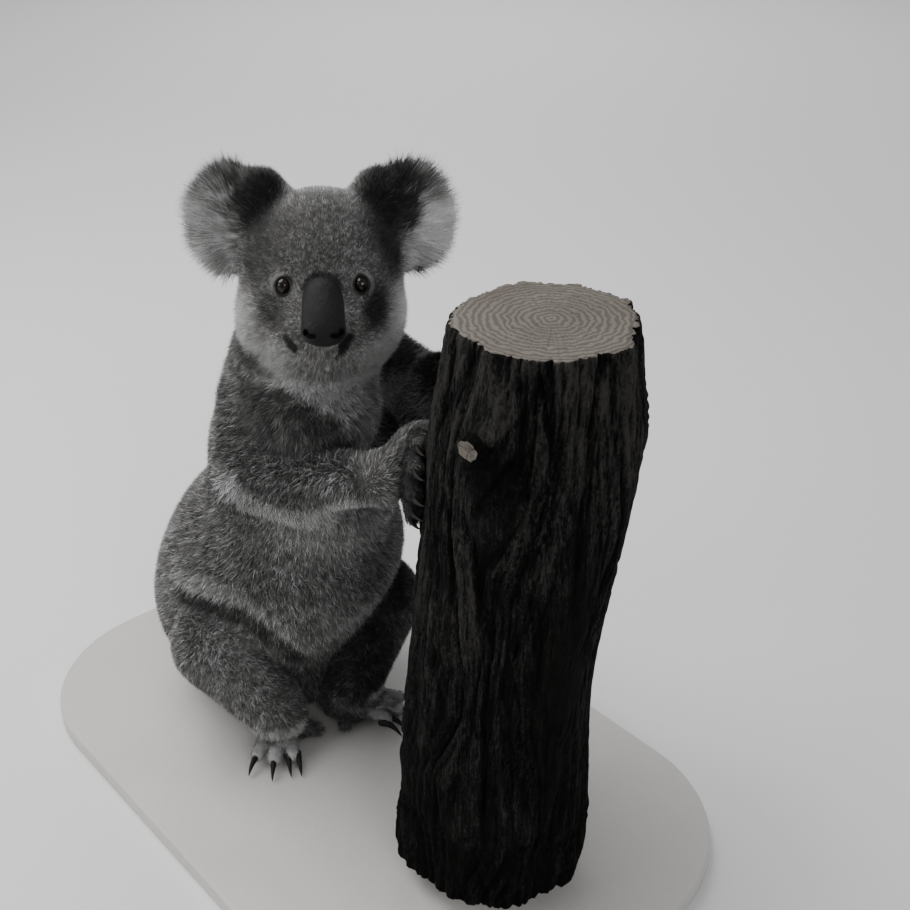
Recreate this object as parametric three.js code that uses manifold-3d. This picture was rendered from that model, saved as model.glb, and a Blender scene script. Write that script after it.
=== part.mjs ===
// A life-size koala seated on a plain display base, its arms round a short cut length of post.
// Millimetres, +Z up. The koala faces -Y, so its own right side is at -X. Everything is drawn
// from the seat point, on top of the base under the belly, and the whole is then moved so that
// the origin is the centre of the base's underside.
//
// Each part of the body is a closed net of triangles drawn outwards from a core until it meets
// the part's surface, which is a blend of ellipsoids and tapered limbs. The surfaces are those
// of the coat's outer tips. Neighbours are cut back from each other by a thin gap.

import * as THREE from "three";
import { mergeVertices } from "three/addons/utils/BufferGeometryUtils.js";
import Module from "manifold-3d";

const wasm = await Module();
wasm.setup();

// ---------------------------------------------------------------- driving dimensions

const GAP = 0.5; // clearance between parts that touch
const SLIVER = 0.2; // detail finer than this is dropped from a cut
const RIGHT = -1;
const LEFT = 1;

const BASE = { width: 380, length: 610, thickness: 16, corner: 120, bevel: 2, centreY: -142 };

const POST = {
  radius: 72, // over the bark
  bottom: 22, // the cut end stands this far over the base
  top: 472,
  foot: [0, -314], // axis at floor level
  lean: [0.045, -0.04], // sideways travel of the axis for each unit of height
};
const KNOT = { around: -100, height: 414, seat: -3, radii: [10, 15], length: 26 };
const ROD = { radius: 7, spread: 34 };

const TRUNK = {
  rump: { at: [4, 4, 98], radii: [106, 104, 106] },
  belly: { at: [11, -33, 164], radii: [106, 101, 96] },
  chest: { at: [8, -72, 268], radii: [82, 88, 94] },
  blend: 40,
};
const NECK = {
  nape: { at: [-5, -95, 362], radii: [60, 56, 62] },
  throat: { at: [-30, -144, 352], radii: [50, 48, 50] },
  blend: 30,
};

const HEAD = {
  at: [0, -120, 437], // on the line of the eyes, in the middle of the skull
  turn: -35.7, // to the koala's right
  lift: 21, // chin up
  roll: 1.4,
};
const SKULL = { at: [0, 2, 12], radii: [60, 62, 60] };
const EAR_BASE = { at: [41, 4, 58], radii: [20, 20, 27] };
const CHEEK = { at: [32, -12, -20], radii: [28, 38, 33] };
const MUZZLE = { at: [0, -50, -23], radii: [29, 31, 28] };
const BROW = { at: [0, -36, 2], radii: [38, 28, 30] };
const JAW = { at: [0, -34, -38], radii: [36, 34, 21] };
const NOSE = {
  bridge: { at: [0, -69, -9], radii: [12, 11, 14] },
  tip: { at: [0, -75, -27], radii: [15, 13, 17] },
};
const EYE = {
  at: [26.5, -52, 0],
  radius: 8.5,
  socket: { at: [26.5, -61.5, 0], radii: [7.5, 5.5, 7] },
};
const EAR = {
  at: [62, 8, 52],
  radii: [36, 19, 42],
  splay: 18,
  turn: 14,
  hollow: { at: [0, -30, 2], radii: [24, 20, 28] },
};

// Limbs are chains of joints. The two sides differ: the left elbow is raised, and the right knee
// and foot are turned further out.
const ARM = {
  [RIGHT]: {
    shoulder: [-34, -84, 336],
    elbow: [-66, -102, 287],
    crook: [-46, -146, 302],
    wrist: [-44, -238, 340],
  },
  [LEFT]: {
    shoulder: [56, -92, 345],
    elbow: [98, -138, 318],
    crook: [80, -176, 332],
    wrist: [58, -236, 350],
  },
};
const ARM_RADII = { shoulder: 41, upperEnd: 29, elbow: 32, crook: [32, 48, 42], wrist: 20 };
const GRIP = {
  [RIGHT]: { height: 347, around: 16 },
  [LEFT]: { height: 354, around: 16 },
};

const LEG = {
  [RIGHT]: { hip: [-46, 18, 82], knee: [-80, -46, 100], ankle: [-55, -92, 36], heel: [-42, -76, 17] },
  [LEFT]: { hip: [54, 16, 82], knee: [66, -84, 98], ankle: [20, -104, 36], heel: [8, -96, 17] },
};
const LEG_RADII = { hip: 45, thighEnd: 39, knee: 43, ankle: 28 };

// Each hind foot is laid out on a line from the heel to the longest toe: `point` is where the
// sole's middle lies, and `out` is how far the foot turns outwards, in degrees.
const FOOT = {
  [RIGHT]: { point: [-52, -88], out: 36 },
  [LEFT]: { point: [25, -106], out: 24 },
};
const SOLE = { radii: [23, 29, 16], height: 15 };
// Toes in the foot's own frame: x towards the outer side, y forwards. The great toe has no claw,
// and the second and third are joined, with a claw each.
const TOES = [
  { root: [-14, 0], tip: [-32, 2], height: 10, radius: 8 },
  { root: [-8, 14], tip: [-11, 33], height: 9.5, radius: 8 },
  { root: [3, 16], tip: [5, 37], height: 10.5, radius: 8 },
  { root: [12, 11], tip: [20, 30], height: 10.5, radius: 7.5 },
];
const TOE_CLAWS = [
  { name: 2, toe: TOES[1], aside: -4.5 },
  { name: 3, toe: TOES[1], aside: 4.5 },
  { name: 4, toe: TOES[2], aside: 0 },
  { name: 5, toe: TOES[3], aside: 0 },
];

const DETAIL = { trunk: 4, head: 4, neck: 2, ear: 3, palm: 1 }; // triangles: 20 * (n + 1)^2

// ---------------------------------------------------------------- surfaces as distance fields

const UP = new THREE.Vector3(0, 1, 0); // the axis that the library's own shapes stand on
const vec = (a) => new THREE.Vector3(...a);
const mirrored = (a, side) => [a[0] * side, a[1], a[2]];

function ellipsoid({ at, radii }) {
  const centre = vec(at);
  const r = vec(radii);
  const r2 = r.clone().multiply(r);
  return (p) => {
    const q = p.clone().sub(centre);
    const near = q.clone().divide(r).length();
    const steep = q.clone().divide(r2).length();
    return steep < 1e-9 ? -Math.min(...radii) : (near * (near - 1)) / steep;
  };
}

// A limb from a to b, with a ball of each radius at its ends.
function taper(a, b, radiusA, radiusB) {
  const start = vec(a);
  const along = vec(b).sub(start);
  const l2 = along.lengthSq();
  const drop = radiusA - radiusB;
  const slope = l2 - drop * drop;
  return (p) => {
    const q = p.clone().sub(start);
    const y = q.dot(along);
    const z = y - l2;
    const x2 = q.clone().multiplyScalar(l2).sub(along.clone().multiplyScalar(y)).lengthSq();
    const k = Math.sign(drop) * drop * drop * x2;
    if (Math.sign(z) * slope * z * z * l2 > k) return Math.sqrt(x2 + z * z * l2) / l2 - radiusB;
    if (Math.sign(y) * slope * y * y * l2 < k) return Math.sqrt(x2 + y * y * l2) / l2 - radiusA;
    return (Math.sqrt((x2 * slope) / l2) + y * drop) / l2 - radiusA;
  };
}

// The union of several surfaces, with a fillet about as wide as `width` where they meet.
const blend = (width, ...fields) => (p) =>
  fields
    .map((f) => f(p))
    .reduce((a, b) => {
      const h = Math.max(width - Math.abs(a - b), 0) / width;
      return Math.min(a, b) - (h * h * width) / 4;
    });

const inFrame = (frame, field) => {
  const inverse = frame.clone().invert();
  return (p) => field(p.clone().applyMatrix4(inverse));
};

const frameAt = (at, rotation) => new THREE.Matrix4().compose(vec(at), rotation, new THREE.Vector3(1, 1, 1));

// ---------------------------------------------------------------- nets drawn onto the surfaces

// How far along `direction` from `origin` the surface lies.
function reach(field, origin, direction) {
  const step = 3;
  const at = (t) => field(origin.clone().addScaledVector(direction, t));
  let inside = 0;
  let outside = step;
  while (at(outside) < 0 && outside < 400) {
    inside = outside;
    outside += step;
  }
  for (let i = 0; i < 24; i += 1) {
    const middle = (inside + outside) / 2;
    if (at(middle) < 0) inside = middle;
    else outside = middle;
  }
  return (inside + outside) / 2;
}

function toSolid(geometry) {
  const bare = new THREE.BufferGeometry().setAttribute("position", geometry.getAttribute("position"));
  if (geometry.index) bare.setIndex(geometry.index);
  const merged = mergeVertices(bare, 1e-3);
  const mesh = new wasm.Mesh({
    numProp: 3,
    vertProperties: new Float32Array(merged.attributes.position.array),
    triVerts: new Uint32Array(merged.index.array),
  });
  return new wasm.Manifold(mesh);
}

// Moves every vertex of a closed geometry out from its own core point to the surface.
function drawOnto(geometry, field, coreOf) {
  const position = geometry.getAttribute("position");
  for (let i = 0; i < position.count; i += 1) {
    const { core, direction } = coreOf(new THREE.Vector3().fromBufferAttribute(position, i));
    const point = core.clone().addScaledVector(direction, reach(field, core, direction));
    position.setXYZ(i, point.x, point.y, point.z);
  }
  return toSolid(geometry);
}

function ball(field, core, detail, stretch = [1, 1, 1]) {
  const geometry = new THREE.IcosahedronGeometry(1, detail);
  const spread = vec(stretch);
  return drawOnto(geometry, field, (v) => ({ core: vec(core), direction: v.multiply(spread).normalize() }));
}

function limb(field, a, b, sides, rings, caps) {
  const axis = vec(b).sub(vec(a));
  const half = axis.length() / 2;
  const middle = vec(a).add(vec(b)).multiplyScalar(0.5);
  const turn = new THREE.Quaternion().setFromUnitVectors(UP, axis.normalize());
  const geometry = new THREE.CapsuleGeometry(1, half * 2, caps, sides, rings);
  return drawOnto(geometry, field, (v) => {
    const spine = new THREE.Vector3(0, THREE.MathUtils.clamp(v.y, -half, half), 0);
    const direction = v.clone().sub(spine).normalize().applyQuaternion(turn);
    return { core: spine.applyQuaternion(turn).add(middle), direction };
  });
}

const grown = (field, by) => (p) => field(p) - by;
const join = (...solids) => solids.reduce((a, b) => a.add(b));

// Takes each of the other solids away, and drops any crumb that this leaves.
function cutBy(solid, ...others) {
  const left = others.reduce((a, b) => a.subtract(b), solid).simplify(SLIVER);
  return left.decompose().sort((a, b) => b.volume() - a.volume())[0];
}

// ---------------------------------------------------------------- the post

function postAxis(z) {
  return new THREE.Vector3(POST.foot[0] + POST.lean[0] * z, POST.foot[1] + POST.lean[1] * z, z);
}

// A point at angle `around` from the side that faces the koala, positive towards its left.
function onPost(around, z, lift) {
  const angle = THREE.MathUtils.degToRad(around);
  const out = POST.radius + lift;
  return postAxis(z).add(new THREE.Vector3(Math.sin(angle) * out, Math.cos(angle) * out, 0));
}

// Bumps of height 1 at `at`: along a length, and round a circle.
const near = (value, at, width) => Math.exp(-(((value - at) / width) ** 2));
const nearAngle = (angle, at, width) => Math.exp((2 * (Math.cos(angle - at) - 1)) / width ** 2);

// Long shallow flutes, loose bark on the side by the right hand, on the far side a swelling over
// a part that has lost its bark, and a narrower top. Angles are those of onPost, in radians.
function barkRelief(angle, z) {
  const flutes = 1.4 * Math.sin(5 * angle + z / 90) + 1.1 * Math.sin(9 * angle - z / 60);
  const loose = 7 * nearAngle(angle, -0.84, 0.7) * near(z, 60, 240);
  const bare = -20 * nearAngle(angle, 2.3, 0.75) * near(z, 205, 130);
  const swelling = 4 * nearAngle(angle, 1.9, 0.7) * near(z, 380, 70);
  const taper = -(11 + 9 * nearAngle(angle, 2.3, 0.9)) * near(z, 510, 95);
  return flutes + loose + bare + swelling + taper;
}

function buildPost(extra = 0) {
  const rings = 6;
  const sides = 24;
  const profile = [new THREE.Vector2(0, POST.bottom)];
  for (let i = 0; i <= rings; i += 1) {
    profile.push(new THREE.Vector2(POST.radius, THREE.MathUtils.lerp(POST.bottom, POST.top, i / rings)));
  }
  profile.push(new THREE.Vector2(0, POST.top));
  const geometry = new THREE.LatheGeometry(profile, sides);
  geometry.rotateX(Math.PI / 2);
  const position = geometry.getAttribute("position");
  for (let i = 0; i < position.count; i += 1) {
    const z = position.getZ(i);
    const angle = Math.atan2(position.getX(i), position.getY(i));
    const central = Math.hypot(position.getX(i), position.getY(i)) < 1;
    const out = central ? 0 : POST.radius + barkRelief(angle, z) + extra;
    const axis = postAxis(z);
    position.setXYZ(i, axis.x + Math.sin(angle) * out, axis.y + Math.cos(angle) * out, z);
  }
  const stem = toSolid(geometry);
  return stem.volume() < 0 ? toSolid(flipped(geometry)) : stem;
}

function flipped(geometry) {
  const index = geometry.index.array;
  for (let i = 0; i < index.length; i += 3) [index[i + 1], index[i + 2]] = [index[i + 2], index[i + 1]];
  return geometry;
}

// The stub of a sawn branch, on the side away from the koala's right hand.
function buildKnot() {
  const geometry = new THREE.CylinderGeometry(...KNOT.radii, KNOT.length, 10, 1);
  const outwards = onPost(KNOT.around, KNOT.height, 0).sub(postAxis(KNOT.height)).normalize();
  const turn = new THREE.Quaternion().setFromUnitVectors(UP, outwards);
  geometry.applyQuaternion(turn);
  const seat = onPost(KNOT.around, KNOT.height, KNOT.seat);
  geometry.translate(seat.x, seat.y, seat.z);
  return toSolid(geometry);
}

// ---------------------------------------------------------------- the stand

function buildBase() {
  const { width, length, thickness, corner, bevel, centreY } = BASE;
  const w = width / 2 - bevel;
  const l = length / 2 - bevel;
  const r = corner - bevel;
  const outline = new THREE.Shape();
  outline.moveTo(-w + r, -l);
  outline.absarc(w - r, -l + r, r, -Math.PI / 2, 0);
  outline.absarc(w - r, l - r, r, 0, Math.PI / 2);
  outline.absarc(-w + r, l - r, r, Math.PI / 2, Math.PI);
  outline.absarc(-w + r, -l + r, r, Math.PI, Math.PI * 1.5);
  const geometry = new THREE.ExtrudeGeometry(outline, {
    depth: thickness - 2 * bevel,
    bevelThickness: bevel,
    bevelSize: bevel,
    bevelSegments: 1,
    curveSegments: 3,
  });
  geometry.translate(0, centreY, -thickness + bevel);
  return toSolid(geometry);
}

function buildRod(side) {
  const height = POST.bottom - GAP * 2;
  const foot = postAxis(POST.bottom / 2);
  const geometry = new THREE.CylinderGeometry(ROD.radius, ROD.radius, height, 12, 1);
  geometry.rotateX(Math.PI / 2).translate(foot.x + side * ROD.spread, foot.y, GAP + height / 2);
  return toSolid(geometry);
}

// ---------------------------------------------------------------- the body

const headRotation = new THREE.Quaternion().setFromEuler(
  new THREE.Euler(
    THREE.MathUtils.degToRad(-HEAD.lift),
    THREE.MathUtils.degToRad(HEAD.roll),
    THREE.MathUtils.degToRad(HEAD.turn),
    "ZXY",
  ),
);
const headFrame = frameAt(HEAD.at, headRotation);
const onHead = (at) => vec(at).applyMatrix4(headFrame).toArray();

const trunkField = blend(TRUNK.blend, ellipsoid(TRUNK.rump), ellipsoid(TRUNK.belly), ellipsoid(TRUNK.chest));
const neckField = blend(NECK.blend, ellipsoid(NECK.nape), ellipsoid(NECK.throat));
const headField = inFrame(
  headFrame,
  blend(
    16,
    ellipsoid(SKULL),
    ellipsoid(CHEEK),
    ellipsoid({ at: mirrored(CHEEK.at, RIGHT), radii: CHEEK.radii }),
    ellipsoid(EAR_BASE),
    ellipsoid({ at: mirrored(EAR_BASE.at, RIGHT), radii: EAR_BASE.radii }),
    ellipsoid(BROW),
    ellipsoid(MUZZLE),
    ellipsoid(JAW),
  ),
);
const noseField = inFrame(headFrame, blend(10, ellipsoid(NOSE.bridge), ellipsoid(NOSE.tip)));

const buildTrunk = () => ball(trunkField, [0, -22, 170], DETAIL.trunk, [1, 1, 1.3]);
const buildNeck = (grow = 0) => ball(grown(neckField, grow), [-16, -100, 366], DETAIL.neck);
const buildHead = (grow = 0) => ball(grown(headField, grow), onHead([0, -12, -4]), DETAIL.head, [1, 1, 1]);
const buildNose = (grow = 0) => ball(grown(noseField, grow), onHead([0, -72, -18]), 2, [1, 1, 1]);

function buildEye(side, grow = 0) {
  const geometry = new THREE.SphereGeometry(EYE.radius + grow, 9, 6);
  return toSolid(geometry.translate(...mirrored(EYE.at, side)).applyMatrix4(headFrame));
}

// The hollow in the coat that shows the eye.
function buildSocket(side) {
  const { at, radii } = EYE.socket;
  const geometry = new THREE.SphereGeometry(1, 8, 4).rotateX(Math.PI / 2).scale(...radii);
  return toSolid(geometry.translate(...mirrored(at, side)).applyMatrix4(headFrame));
}

// A furred ear: a disc that faces forwards, hollowed a little in front.
function buildEar(side, grow = 0) {
  const splay = THREE.MathUtils.degToRad(EAR.splay * side);
  const swing = THREE.MathUtils.degToRad(EAR.turn * side);
  const turn = new THREE.Quaternion().setFromEuler(new THREE.Euler(0, splay, swing, "ZXY"));
  const frame = headFrame.clone().multiply(frameAt(mirrored(EAR.at, side), turn));
  const disc = ellipsoid({ at: [0, 0, 0], radii: EAR.radii });
  const hollow = ellipsoid(EAR.hollow);
  const field = inFrame(frame, (p) => -blend(8, (q) => -disc(q), hollow)(p));
  const core = new THREE.Vector3(0, 3, 0).applyMatrix4(frame).toArray();
  return ball(grown(field, grow), core, DETAIL.ear, [1, 1, 1]);
}

function armFields(side) {
  const { shoulder, elbow, crook, wrist } = ARM[side];
  return {
    upper: taper(shoulder, elbow, ARM_RADII.shoulder, ARM_RADII.upperEnd),
    fore: blend(
      24,
      taper(elbow, wrist, ARM_RADII.elbow, ARM_RADII.wrist),
      ellipsoid({ at: crook, radii: ARM_RADII.crook }),
    ),
  };
}

const buildUpperArm = (side, grow = 0) =>
  limb(grown(armFields(side).upper, grow), ARM[side].shoulder, ARM[side].elbow, 10, 1, 3);
const buildForearm = (side, grow = 0) =>
  limb(grown(armFields(side).fore, grow), ARM[side].elbow, ARM[side].wrist, 10, 4, 3);

// The five fingers lie over the bark: two thumbs above, three fingers below.
const FINGERS = [
  { name: 1, rise: 27, knuckle: 24, tip: 36, radius: 6.5 },
  { name: 2, rise: 14, knuckle: 28, tip: 44, radius: 7 },
  { name: 3, rise: -2, knuckle: 30, tip: 49, radius: 7.5 },
  { name: 4, rise: -15, knuckle: 29, tip: 47, radius: 7.5 },
  { name: 5, rise: -27, knuckle: 26, tip: 41, radius: 6.5 },
];
const FINGER_LIFT = { knuckle: 15, tip: 9 };
const PALM = { radii: [22, 22, 24], lift: 18, wrist: 19 };

function fingerJoints(side, finger) {
  const height = GRIP[side].height;
  const at = (around, rise, lift) => onPost(side * around, height + rise, lift).toArray();
  return {
    knuckle: at(finger.knuckle, finger.rise * 0.7, FINGER_LIFT.knuckle),
    tip: at(finger.tip, finger.rise, FINGER_LIFT.tip),
  };
}

function buildHand(side, grow = 0) {
  const { height, around } = GRIP[side];
  const palmAt = onPost(side * around, height, PALM.lift).toArray();
  const wrist = taper(ARM[side].wrist, palmAt, PALM.wrist, PALM.wrist);
  const pad = blend(14, ellipsoid({ at: palmAt, radii: PALM.radii }), wrist);
  const parts = [ball(grown(pad, grow), palmAt, DETAIL.palm)];
  for (const finger of FINGERS) {
    const { knuckle, tip } = fingerJoints(side, finger);
    const digit = taper(knuckle, tip, finger.radius + 2, finger.radius);
    parts.push(limb(grown(digit, grow), knuckle, tip, 5, 1, 2));
  }
  return join(...parts);
}

// A curved claw from `root`, leaving along `forward` and bending towards `down`.
function buildClaw(root, forward, down, length, radius, grow = 0) {
  const geometry = new THREE.ConeGeometry(radius + grow, length + 2 * grow, 5, 3);
  const position = geometry.getAttribute("position");
  const ahead = vec(forward).normalize();
  const below = vec(down).addScaledVector(ahead, -vec(down).dot(ahead)).normalize();
  const across = new THREE.Vector3().crossVectors(ahead, below);
  const sweep = 1.1; // radians from root to tip
  const bend = length / sweep;
  for (let i = 0; i < position.count; i += 1) {
    const angle = (position.getY(i) + length / 2) / bend;
    const out = bend - position.getX(i);
    const point = vec(root)
      .addScaledVector(ahead, Math.sin(angle) * out)
      .addScaledVector(below, bend - Math.cos(angle) * out)
      .addScaledVector(across, position.getZ(i) * 0.8);
    position.setXYZ(i, point.x, point.y, point.z);
  }
  const claw = toSolid(geometry);
  return claw.volume() < 0 ? toSolid(flipped(geometry)) : claw;
}

function buildFingerClaw(side, finger, grow = 0) {
  const { tip } = fingerJoints(side, finger);
  const height = GRIP[side].height + finger.rise;
  const inwards = postAxis(height).sub(vec(tip));
  const around = onPost(side * (finger.tip + 14), height, FINGER_LIFT.tip).sub(vec(tip));
  const forward = around.normalize().addScaledVector(inwards.clone().normalize(), -0.25);
  return buildClaw(tip, forward.toArray(), inwards.toArray(), 19, 3.6, grow);
}

function buildThigh(side, grow = 0) {
  const { hip, knee } = LEG[side];
  return limb(grown(taper(hip, knee, LEG_RADII.hip, LEG_RADII.thighEnd), grow), hip, knee, 10, 2, 3);
}

function buildShank(side, grow = 0) {
  const { knee, ankle } = LEG[side];
  return limb(grown(taper(knee, ankle, LEG_RADII.knee, LEG_RADII.ankle), grow), knee, ankle, 10, 1, 3);
}

// A point of the foot's own frame, out and forwards from the middle of the sole.
function onFoot(side, [out, forward], height) {
  const turn = THREE.MathUtils.degToRad(FOOT[side].out);
  const x = out * Math.cos(turn) + forward * Math.sin(turn);
  const y = -forward * Math.cos(turn) + out * Math.sin(turn);
  return [FOOT[side].point[0] + side * x, FOOT[side].point[1] + y, height];
}

function buildFoot(side, grow = 0) {
  const middle = onFoot(side, [0, 0], SOLE.height);
  const turn = new THREE.Quaternion().setFromAxisAngle(
    new THREE.Vector3(0, 0, 1),
    side * THREE.MathUtils.degToRad(FOOT[side].out),
  );
  const sole = inFrame(frameAt(middle, turn), ellipsoid({ at: [0, 0, 0], radii: SOLE.radii }));
  const heel = taper(LEG[side].heel, middle, 19, 15);
  const parts = [ball(grown(blend(12, sole, heel), grow), middle, DETAIL.palm, [1, 1.4, 0.8])];
  for (const toe of TOES) {
    const root = onFoot(side, toe.root, toe.height + 2);
    const tip = onFoot(side, toe.tip, toe.height);
    parts.push(limb(grown(taper(root, tip, toe.radius + 1, toe.radius), grow), root, tip, 5, 1, 2));
  }
  return join(...parts);
}

function buildToeClaw(side, { toe, aside }, grow = 0) {
  const at = ([out, forward]) => vec(onFoot(side, [out + aside, forward], toe.height));
  const root = at(toe.tip);
  const forward = root.clone().sub(at(toe.root)).setZ(4);
  return buildClaw(root.toArray(), forward.toArray(), [0, 0, -1], 22, 4.4, grow);
}

// ---------------------------------------------------------------- assembly

const FUR = { color: 0x77716b, roughness: 0.95, metalness: 0 };
const PALE_FUR = { color: 0xb9b4ab, roughness: 0.95, metalness: 0 };
const NOSE_SKIN = { color: 0x1d1b1b, roughness: 0.55, metalness: 0 };
const EYE_GLASS = { color: 0x120c08, roughness: 0.05, metalness: 0 };
const CLAW_HORN = { color: 0x17130f, roughness: 0.35, metalness: 0 };
const BARK = { color: 0x3f3832, roughness: 0.95, metalness: 0 };
const BASE_PAINT = { color: 0xc9c5bc, roughness: 0.6, metalness: 0 };
const ROD_STEEL = { color: 0x9a9a9c, roughness: 0.3, metalness: 1 };

const koala = new THREE.Group();
koala.position.set(0, -BASE.centreY, BASE.thickness);

function show(name, solid, finish) {
  const { vertProperties, triVerts, numProp } = solid.getMesh();
  const points = new Float32Array((vertProperties.length / numProp) * 3);
  for (let i = 0; i < points.length / 3; i += 1) {
    for (let k = 0; k < 3; k += 1) points[i * 3 + k] = vertProperties[i * numProp + k];
  }
  const geometry = new THREE.BufferGeometry();
  geometry.setAttribute("position", new THREE.BufferAttribute(points, 3));
  geometry.setIndex(new THREE.BufferAttribute(new Uint32Array(triVerts), 1));
  geometry.computeVertexNormals();
  const mesh = new THREE.Mesh(geometry, new THREE.MeshStandardMaterial(finish));
  mesh.name = name;
  koala.add(mesh);
}

const sideName = { [RIGHT]: "right", [LEFT]: "left" };
const sides = [RIGHT, LEFT];

// Everything that stands on the base stops just over it.
const floor = toSolid(new THREE.BoxGeometry(900, 1200, 200).translate(0, BASE.centreY, -100 + GAP));
const post = join(buildPost(), buildKnot());
const postRoom = buildPost(GAP);

show("stand_base", buildBase(), BASE_PAINT);
sides.forEach((side, i) => show(`stand_rod_${i + 1}`, buildRod(side), ROD_STEEL));
show("perch_post", post, BARK);

show("nose", buildNose(), NOSE_SKIN);
sides.forEach((side) => show(`eye_${sideName[side]}`, buildEye(side), EYE_GLASS));
const eyeRoom = sides.map((side) => buildEye(side, GAP).add(buildSocket(side)));
show("head", cutBy(buildHead(), buildNose(GAP), ...eyeRoom), FUR);
const headRoom = buildHead(GAP);
sides.forEach((side) => show(`ear_${sideName[side]}`, cutBy(buildEar(side), headRoom), PALE_FUR));

const armRoom = sides.map((side) => buildUpperArm(side, GAP).add(buildForearm(side, GAP)));
show("neck", cutBy(buildNeck(), headRoom, ...armRoom), PALE_FUR);

const trunkRoom = [buildNeck(GAP), ...armRoom, floor];
for (const side of sides) {
  const name = sideName[side];
  const fingerClaws = [];
  for (const finger of FINGERS) {
    show(`claw_hand_${name}_${finger.name}`, cutBy(buildFingerClaw(side, finger), postRoom), CLAW_HORN);
    fingerClaws.push(buildFingerClaw(side, finger, GAP));
  }
  show(`hand_${name}`, cutBy(buildHand(side), postRoom, ...fingerClaws), FUR);
  const handRoom = buildHand(side, GAP);
  show(`forearm_${name}`, cutBy(buildForearm(side), handRoom, postRoom), FUR);
  show(`upper_arm_${name}`, cutBy(buildUpperArm(side), buildForearm(side, GAP)), FUR);

  const toeClaws = [];
  for (const claw of TOE_CLAWS) {
    show(`claw_foot_${name}_${claw.name}`, cutBy(buildToeClaw(side, claw), floor), CLAW_HORN);
    toeClaws.push(buildToeClaw(side, claw, GAP));
  }
  show(`foot_${name}`, cutBy(buildFoot(side), floor, ...toeClaws), FUR);
  const footRoom = buildFoot(side, GAP);
  show(`shank_${name}`, cutBy(buildShank(side), footRoom, floor), FUR);
  const shankRoom = buildShank(side, GAP);
  show(`thigh_${name}`, cutBy(buildThigh(side), shankRoom, floor), FUR);
  trunkRoom.push(buildThigh(side, GAP), shankRoom, footRoom);
}
show("trunk", cutBy(buildTrunk(), ...trunkRoom), FUR);

export default koala;
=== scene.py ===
"""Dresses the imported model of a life-size koala that sits on a base with its arms round a post.

One skin stands for all the flesh, and a coat of small tufts grows from it. The skin is a blend of
the same eggs and tapered limbs as the solids, sunk by the depth of the coat, so that the tips of
the hair end where the solids end. Shapes are worked out in millimetres from the seat point, on top
of the base under the belly, and become metres in the model's own frame when a mesh is made.
"""

import logging
import math
from dataclasses import dataclass, field
from enum import Enum
from typing import Callable, Optional, Protocol, Sequence, Union

import bpy
import numpy as np
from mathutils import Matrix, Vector


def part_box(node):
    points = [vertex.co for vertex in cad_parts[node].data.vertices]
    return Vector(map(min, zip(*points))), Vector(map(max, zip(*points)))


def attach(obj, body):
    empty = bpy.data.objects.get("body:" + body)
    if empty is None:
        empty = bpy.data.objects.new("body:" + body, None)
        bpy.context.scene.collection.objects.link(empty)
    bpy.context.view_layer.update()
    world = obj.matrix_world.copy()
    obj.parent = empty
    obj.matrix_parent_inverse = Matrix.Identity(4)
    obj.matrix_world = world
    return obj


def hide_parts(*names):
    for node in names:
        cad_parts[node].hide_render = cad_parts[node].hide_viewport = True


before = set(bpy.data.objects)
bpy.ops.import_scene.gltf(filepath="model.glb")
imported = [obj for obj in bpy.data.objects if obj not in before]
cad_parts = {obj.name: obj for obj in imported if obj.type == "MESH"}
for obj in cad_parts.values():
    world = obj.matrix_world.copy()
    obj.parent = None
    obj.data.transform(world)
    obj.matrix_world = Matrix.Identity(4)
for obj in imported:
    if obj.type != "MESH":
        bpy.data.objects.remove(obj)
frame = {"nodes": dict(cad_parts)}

LOG = logging.getLogger("koala")
Array = np.ndarray
Piece = bpy.types.Object
Material = bpy.types.Material
Socket = bpy.types.NodeSocket
Vec = tuple[float, float, float]
Colour = Union[Socket, Vec]
SEAT = np.array([0.0, 142.0, 16.0])
MOST_AT_ONCE = 400000
DUST = (0.4, 0.37, 0.33)
BODY = "root"


def to_model(points: Array) -> Array:
    """Turn millimetres from the seat point into metres in the model's frame."""
    return (points + SEAT) * 0.001


def unit(vectors: Array) -> Array:
    """Scale each vector to length one."""
    return vectors / np.maximum(np.linalg.norm(vectors, axis=-1, keepdims=True), 1e-9)


def smooth_step(low: float, high: float, values: Array) -> Array:
    """Rise from 0 at low to 1 at high with no kink, or fall where low is above high."""
    t = np.clip((values - low) / (high - low), 0.0, 1.0)
    return t * t * (3.0 - 2.0 * t)


def mix(low: Array, high: Array, share: Array) -> Array:
    """Blend from low to high by share."""
    return low + (high - low) * share


def turns(sides: int) -> Array:
    """Angles of points evenly round a ring."""
    return np.arange(sides) / sides * 2 * math.pi


def abs_x(q: Array) -> Array:
    """Fold points onto the left side."""
    return np.concatenate([np.abs(q[:, :1]), q[:, 1:]], axis=1)


def dot(a: Array, b: Array) -> Array:
    """Dot product of each pair of rows."""
    return np.einsum("ij,ij->i", a, b)


def lengths(vectors: Array) -> Array:
    """Length of each row."""
    return np.linalg.norm(vectors, axis=1)


def flat(vectors: Array, normal: Array) -> Array:
    """Vectors without what stands out along their normal."""
    return vectors - normal * dot(vectors, normal)[:, None]


def bell(values: Array, at: float, width: float) -> Array:
    """One where the values are at a number, falling to nothing over the width."""
    return np.exp(-(((values - at) / width) ** 2))


def bell_round(angles: Array, at: float, width: float) -> Array:
    """One where the angles are at an angle, falling to nothing over the width."""
    return np.exp(2.0 * (np.cos(angles - at) - 1.0) / width**2)


# ------------ noise over space


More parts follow.
